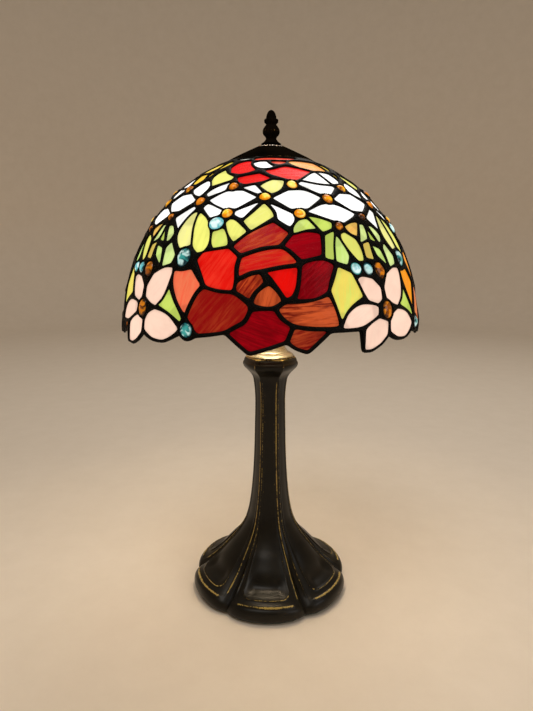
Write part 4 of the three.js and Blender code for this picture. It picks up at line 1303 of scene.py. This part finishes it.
def base_casting():
    """Foot and stem in one: six lobes that close into a hexagonal stem, hollow underneath."""
    levels = casting_levels()
    columns = lobe_columns()
    middle = [(level[3], level[2]) for level in levels]
    lengths = np.concatenate([[0], np.cumsum([math.dist(a, b) for a, b in zip(middle, middle[1:])])])
    start = float(np.interp(19.8, [m[1] for m in middle], lengths))
    rows = []
    for level in levels:
        row = []
        for lobe in range(LOBES):
            for off in columns:
                share = lobe_share(off, min(1.0, max(0.0, level[4])))
                radius = level[1] + (level[3] - level[1]) * share
                z = level[0] + (level[2] - level[0]) * share
                row.append(polar(radius, (lobe + off / 2) * 60 + CASTING_TURN_DEG, z))
        rows.append(row)
    surface = np.array(rows)
    around = np.roll(surface, -1, axis=1) - np.roll(surface, 1, axis=1)
    upward = np.gradient(surface, axis=0)
    normal = np.cross(around, upward)
    normal /= np.maximum(np.linalg.norm(normal, axis=2), 1e-9)[..., None]
    gilt_and_glow = []
    for i, level in enumerate(levels):
        for j in range(LOBES * len(columns)):
            off = columns[j % len(columns)]
            out, gold = casting_detail(off, level, lengths[i] - start)
            if i > 2:
                surface[i, j] += normal[i, j] * out
            gilt_and_glow.append(gold)
    count = surface.shape[1]
    points = surface.reshape(-1, 3).tolist()
    inner = [(10, 248.6), (5.6, 248.6), (5.6, 226), (9, 226), (9, 60), (26, 60), (33, 46), (45, 30),
             (59, 15), (69, 7), (69, 2.3)]
    angles = [(lobe + off / 2) * 60 + CASTING_TURN_DEG for lobe in range(LOBES) for off in columns]
    for radius, z in inner:
        points += [polar(radius, degrees, z) for degrees in angles]
        gilt_and_glow += [0.0] * count
    return points, ring_faces(len(levels) + len(inner), count, loop=True), {"gilt_and_glow": gilt_and_glow}


casting_points, casting_faces, casting_values = base_casting()
make_piece("cast_base", casting_points, casting_faces, BRONZE, "base", "antique_bronze", ["base_casting"],
           sharp=50, values=casting_values)

# ---------------------------------------------------------------- neck, cap and finial

NECK = soften([(8, 248.95), (22.4, 248.95), (23.2, 249.8), (21.6, 251.2), (17.6, 253.4), (14.6, 258),
               (12.6, 263.6)], 5)
neck_points, neck_faces = lathe(NECK + [(12.0, 264.0), (6, 264.0), (6, 249.5)], 96)
make_piece("neck_trumpet", neck_points, neck_faces, PALE_BRASS, "base", "brass", ["neck_cone"], sharp=45)

CAP_EDGE = [(42.6, 433.3), (42.9, 434.3), (41.6, 435.3), (36.2, 438.4), (30, 441.5), (22, 445.4), (18, 447.3)]
CAP_TOP = [(16.9, 447.8), (12.3, 450.0), (10.6, 450.7), (9.6, 450.9), (5.6, 451)]
CAP_WALL = 1.1
VENTS = 10
VENT_STEPS = 24
VENT_CIRCLE = 14.6


def in_vent(radius, phase):
    """Whether a place on the cap is cut away.

    phase runs from 0 to 1 over one scroll and the dot beside it."""
    across = (phase - 0.36) * 2 * math.pi * VENT_CIRCLE / VENTS
    up = radius - VENT_CIRCLE
    scroll = abs(up - 1.25 * math.sin(across * 1.15)) < 0.62 and abs(across) < 2.45
    curl = math.hypot(across - 2.2, up + 0.35) < 0.75 or math.hypot(across + 2.2, up - 0.35) < 0.75
    dot = math.hypot(across - 4.6, up * 0.9) < 0.85
    return scroll or curl or dot


def vented_cap():
    """A spun cone with a ring of small scrolls and dots cut through it round the finial."""
    band = [(18 - 0.32 * i, 447.3 + 0.155 * i) for i in range(1, 20)]
    outside = soften(CAP_EDGE, 5) + band + soften([(11.5, 450.35)] + CAP_TOP[2:], 3)
    steps = VENTS * VENT_STEPS
    rows = [[polar(radius, 360 * j / steps, z) for j in range(steps)] for radius, z in outside]
    for radius, z in reversed(outside):
        rows.append([polar(max(radius - 0.35, 5.2), 360 * j / steps, z - CAP_WALL) for j in range(steps)])
    count = len(outside)
    radii = [r for r, _ in outside]
    open_cell = set()
    for i in range(count - 1):
        for j in range(steps):
            middle = (radii[i] + radii[i + 1]) / 2
            if 12 < middle < 17.4 and in_vent(middle, (j % VENT_STEPS + 0.5) / VENT_STEPS):
                open_cell.add((i, j))
    total = len(rows)
    faces = []
    for i in range(total):
        nxt = (i + 1) % total
        front_row = i if i < count - 1 else (2 * count - 2 - i if count <= i < 2 * count - 1 else None)
        for j in range(steps):
            if front_row is not None and (front_row, j) in open_cell:
                continue
            k = (j + 1) % steps
            faces.append((i * steps + j, i * steps + k, nxt * steps + k, nxt * steps + j))
    mirror = {i: 2 * count - 1 - i for i in range(count)}
    for i, j in sorted(open_cell):
        k = (j + 1) % steps
        low, high = i * steps, (i + 1) * steps
        low_in, high_in = mirror[i] * steps, mirror[i + 1] * steps
        if (i - 1, j) not in open_cell:
            faces.append((low + k, low + j, low_in + j, low_in + k))
        if (i + 1, j) not in open_cell:
            faces.append((high + j, high + k, high_in + k, high_in + j))
        if (i, (j - 1) % steps) not in open_cell:
            faces.append((low + j, high + j, high_in + j, low_in + j))
        if (i, k) not in open_cell:
            faces.append((high + k, low + k, low_in + k, high_in + k))
    points = [p for row in rows for p in row]
    gilt_and_glow = [0.6 * bell(math.hypot(x, y) - 42.6, 0.6) for x, y, _ in points]
    # Painted glow: the walls of the cut-outs get a value far above 1, which the cap's material shows as a
    # warm glow.
    for i, j in open_cell:
        for row in (mirror[i], mirror[i + 1]):
            gilt_and_glow[row * steps + j] = gilt_and_glow[row * steps + (j + 1) % steps] = 12.0
    return points, faces, {"gilt_and_glow": gilt_and_glow}


cap_points, cap_faces, cap_values = vented_cap()
make_piece("pierced_cap", cap_points, cap_faces, CAP_BRONZE, "shade", "antique_bronze", ["vented_cap"],
           sharp=50, values=cap_values)

FINIAL_OUTSIDE = [
    (9.3, 452.0), (9.4, 452.6), (8.3, 453.3), (6.7, 454.6), (5.3, 456.4), (5.0, 457.6), (5.8, 459.1),
    (7.4, 460.8), (8.1, 463.3), (7.6, 466.0), (6.0, 468.4), (4.9, 469.8), (5.6, 471), (6.7, 472.7),
    (6.3, 474.2), (5.1, 475.0), (4.7, 477), (4.0, 479.4), (2.7, 481.6), (1.2, 482.7), (0.02, 483),
]


FINIAL_BORE = [(0.02, 462.6), (3.4, 462.5), (3.4, 452.0)]
FINIAL_SIDES = 128
FLUTES = 16


def finial_wave(degrees, radius, z):
    """Flutes round the ball and six soft lobes on the knob above it."""
    ball = step_up(z, 458.2, 460.4) * (1 - step_up(z, 466.4, 468.6))
    knob = bell(z - 472.9, 1.6)
    flute = -0.6 * ball * (0.5 - 0.5 * math.cos(math.radians(degrees * FLUTES))) ** 0.7
    return radius + flute + 0.8 * knob * math.cos(math.radians(degrees * 6))


finial_profile = soften(FINIAL_OUTSIDE, 5)
finial_points, finial_faces = lathe(finial_profile + FINIAL_BORE, FINIAL_SIDES, finial_wave)
finial_gilt = []
for _, z in finial_profile:
    for j in range(FINIAL_SIDES):
        ridge = 0.5 + 0.5 * math.cos(math.radians(360 * j / FINIAL_SIDES * FLUTES))
        finial_gilt.append(0.8 * bell(z - 463.8, 1.3) * ridge + 0.6 * bell(z - 473.2, 0.7))
finial_gilt += [0.0] * (len(FINIAL_BORE) * FINIAL_SIDES)
make_piece("acorn_finial", finial_points, finial_faces, CAP_BRONZE, "finial", "antique_bronze", ["finial"],
           sharp=60, values={"gilt_and_glow": finial_gilt})

# ---------------------------------------------------------------- bulb, harp and small hardware

BULB_PROFILE = soften([(13, 315.4), (14, 322), (18.6, 335), (25.5, 349.5), (29, 359.5), (30, 367),
                       (28.6, 376.4), (24.4, 384.6), (17.6, 391.3), (9.2, 395.6), (0.05, 397)], 5)
bulb_inside = [(max(r - 0.9, 0.03), z - 0.9 * (z - 350) / 50) for r, z in reversed(BULB_PROFILE)]
bulb_points, bulb_faces = lathe(BULB_PROFILE + bulb_inside, 64)
make_piece("frosted_envelope", bulb_points, bulb_faces, BULB, "bulb", "bulb_glass", ["bulb_glass"], sharp=70)

# The CAD nodes that stay visible, by material.
CARRIED = [
    (FELT, ["felt_pad"]),
    (RUBBER, ["cord_grommet"]),
    (STEEL, ["lamp_pipe", "bottom_washer", "lock_nut", "bulb_base"]),
    (BRASS, ["harp_saddle", "harp", "harp_stud", "harp_sleeve_left", "harp_sleeve_right", "socket_cap",
             "socket_shell", "screw_shell", "centre_contact", "crown_ring", "finial_washer"]),
    (CARD, ["socket_liner"]),
    (PHENOLIC, ["socket_body", "bulb_tip"]),
]
for material, names in CARRIED:
    for name in names:
        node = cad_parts[name]
        node.data.materials.clear()
        node.data.materials.append(material)

# ---------------------------------------------------------------- studio


def stage_piece(name, points, faces, material):
    """A mesh of the studio, in metres, which is no part of the lamp."""
    mesh = bpy.data.meshes.new(name)
    mesh.from_pydata(points, [], faces)
    mesh.polygons.foreach_set("use_smooth", [True] * len(mesh.polygons))
    mesh.materials.append(material)
    piece = bpy.data.objects.new(name, mesh)
    scene.collection.objects.link(piece)


floor_paint = plain_stuff("pale_floor", (0.80, 0.70, 0.58, 1), (0.84, 0.74, 0.62, 1), 22, 0.75, 0.05)
# The floor is a wide bowl, so that no view sees an edge; lengths in this part are metres.
bowl = [(0.05, 0), (0.5, 0), (1.2, 0), (2.2, 0)]
bowl += [(2.2 + 0.6 * math.sin(a), 0.6 - 0.6 * math.cos(a)) for a in np.linspace(0.15, math.pi / 2, 12)]
bowl += [(2.8, 2.2), (4.4, 4.1)]
BOWL_SIDES = 72
bowl_angles = [2 * math.pi * k / BOWL_SIDES for k in range(BOWL_SIDES)]
floor_points = [(radius * math.cos(a), radius * math.sin(a), z) for radius, z in bowl for a in bowl_angles]
floor_faces = ring_faces(len(bowl), BOWL_SIDES) + [tuple(range(BOWL_SIDES))]
stage_piece("floor", floor_points, floor_faces, floor_paint)


def soft_light(name, place, aim, size, watts, colour):
    """A round area light aimed at a point."""
    data = bpy.data.lights.new(name, "AREA")
    data.shape = "DISK"
    data.size = size
    data.energy = watts
    data.color = colour
    light = bpy.data.objects.new(name, data)
    scene.collection.objects.link(light)
    light.location = place
    light.rotation_euler = (Vector(aim) - Vector(place)).to_track_quat("-Z", "Y").to_euler()


soft_light("key", (-0.4, -0.85, 2.2), (0, 0, 0.2), 1.1, 12, (1.0, 0.95, 0.88))
soft_light("fill", (1.4, -1.0, 0.9), (0, 0, 0.2), 1.2, 5, (0.95, 0.97, 1.0))
soft_light("back", (0.3, 0.9, 1.6), (0, 0, 0.1), 0.9, 6, (1.0, 0.95, 0.88))

bulb_light = bpy.data.lights.new("bulb_light", "POINT")
bulb_light.energy = 3.6
bulb_light.color = (1.0, 0.80, 0.55)
bulb_light.shadow_soft_size = 0.045
bulb_lamp = bpy.data.objects.new("bulb_light", bulb_light)
bulb_lamp.location = (0, 0, 0.366)
scene.collection.objects.link(bulb_lamp)

world = bpy.data.worlds.new("studio")
scene.world = world
world.use_nodes = True
world.node_tree.nodes["Background"].inputs["Color"].default_value = (0.86, 0.80, 0.72, 1)
world.node_tree.nodes["Background"].inputs["Strength"].default_value = 0.3
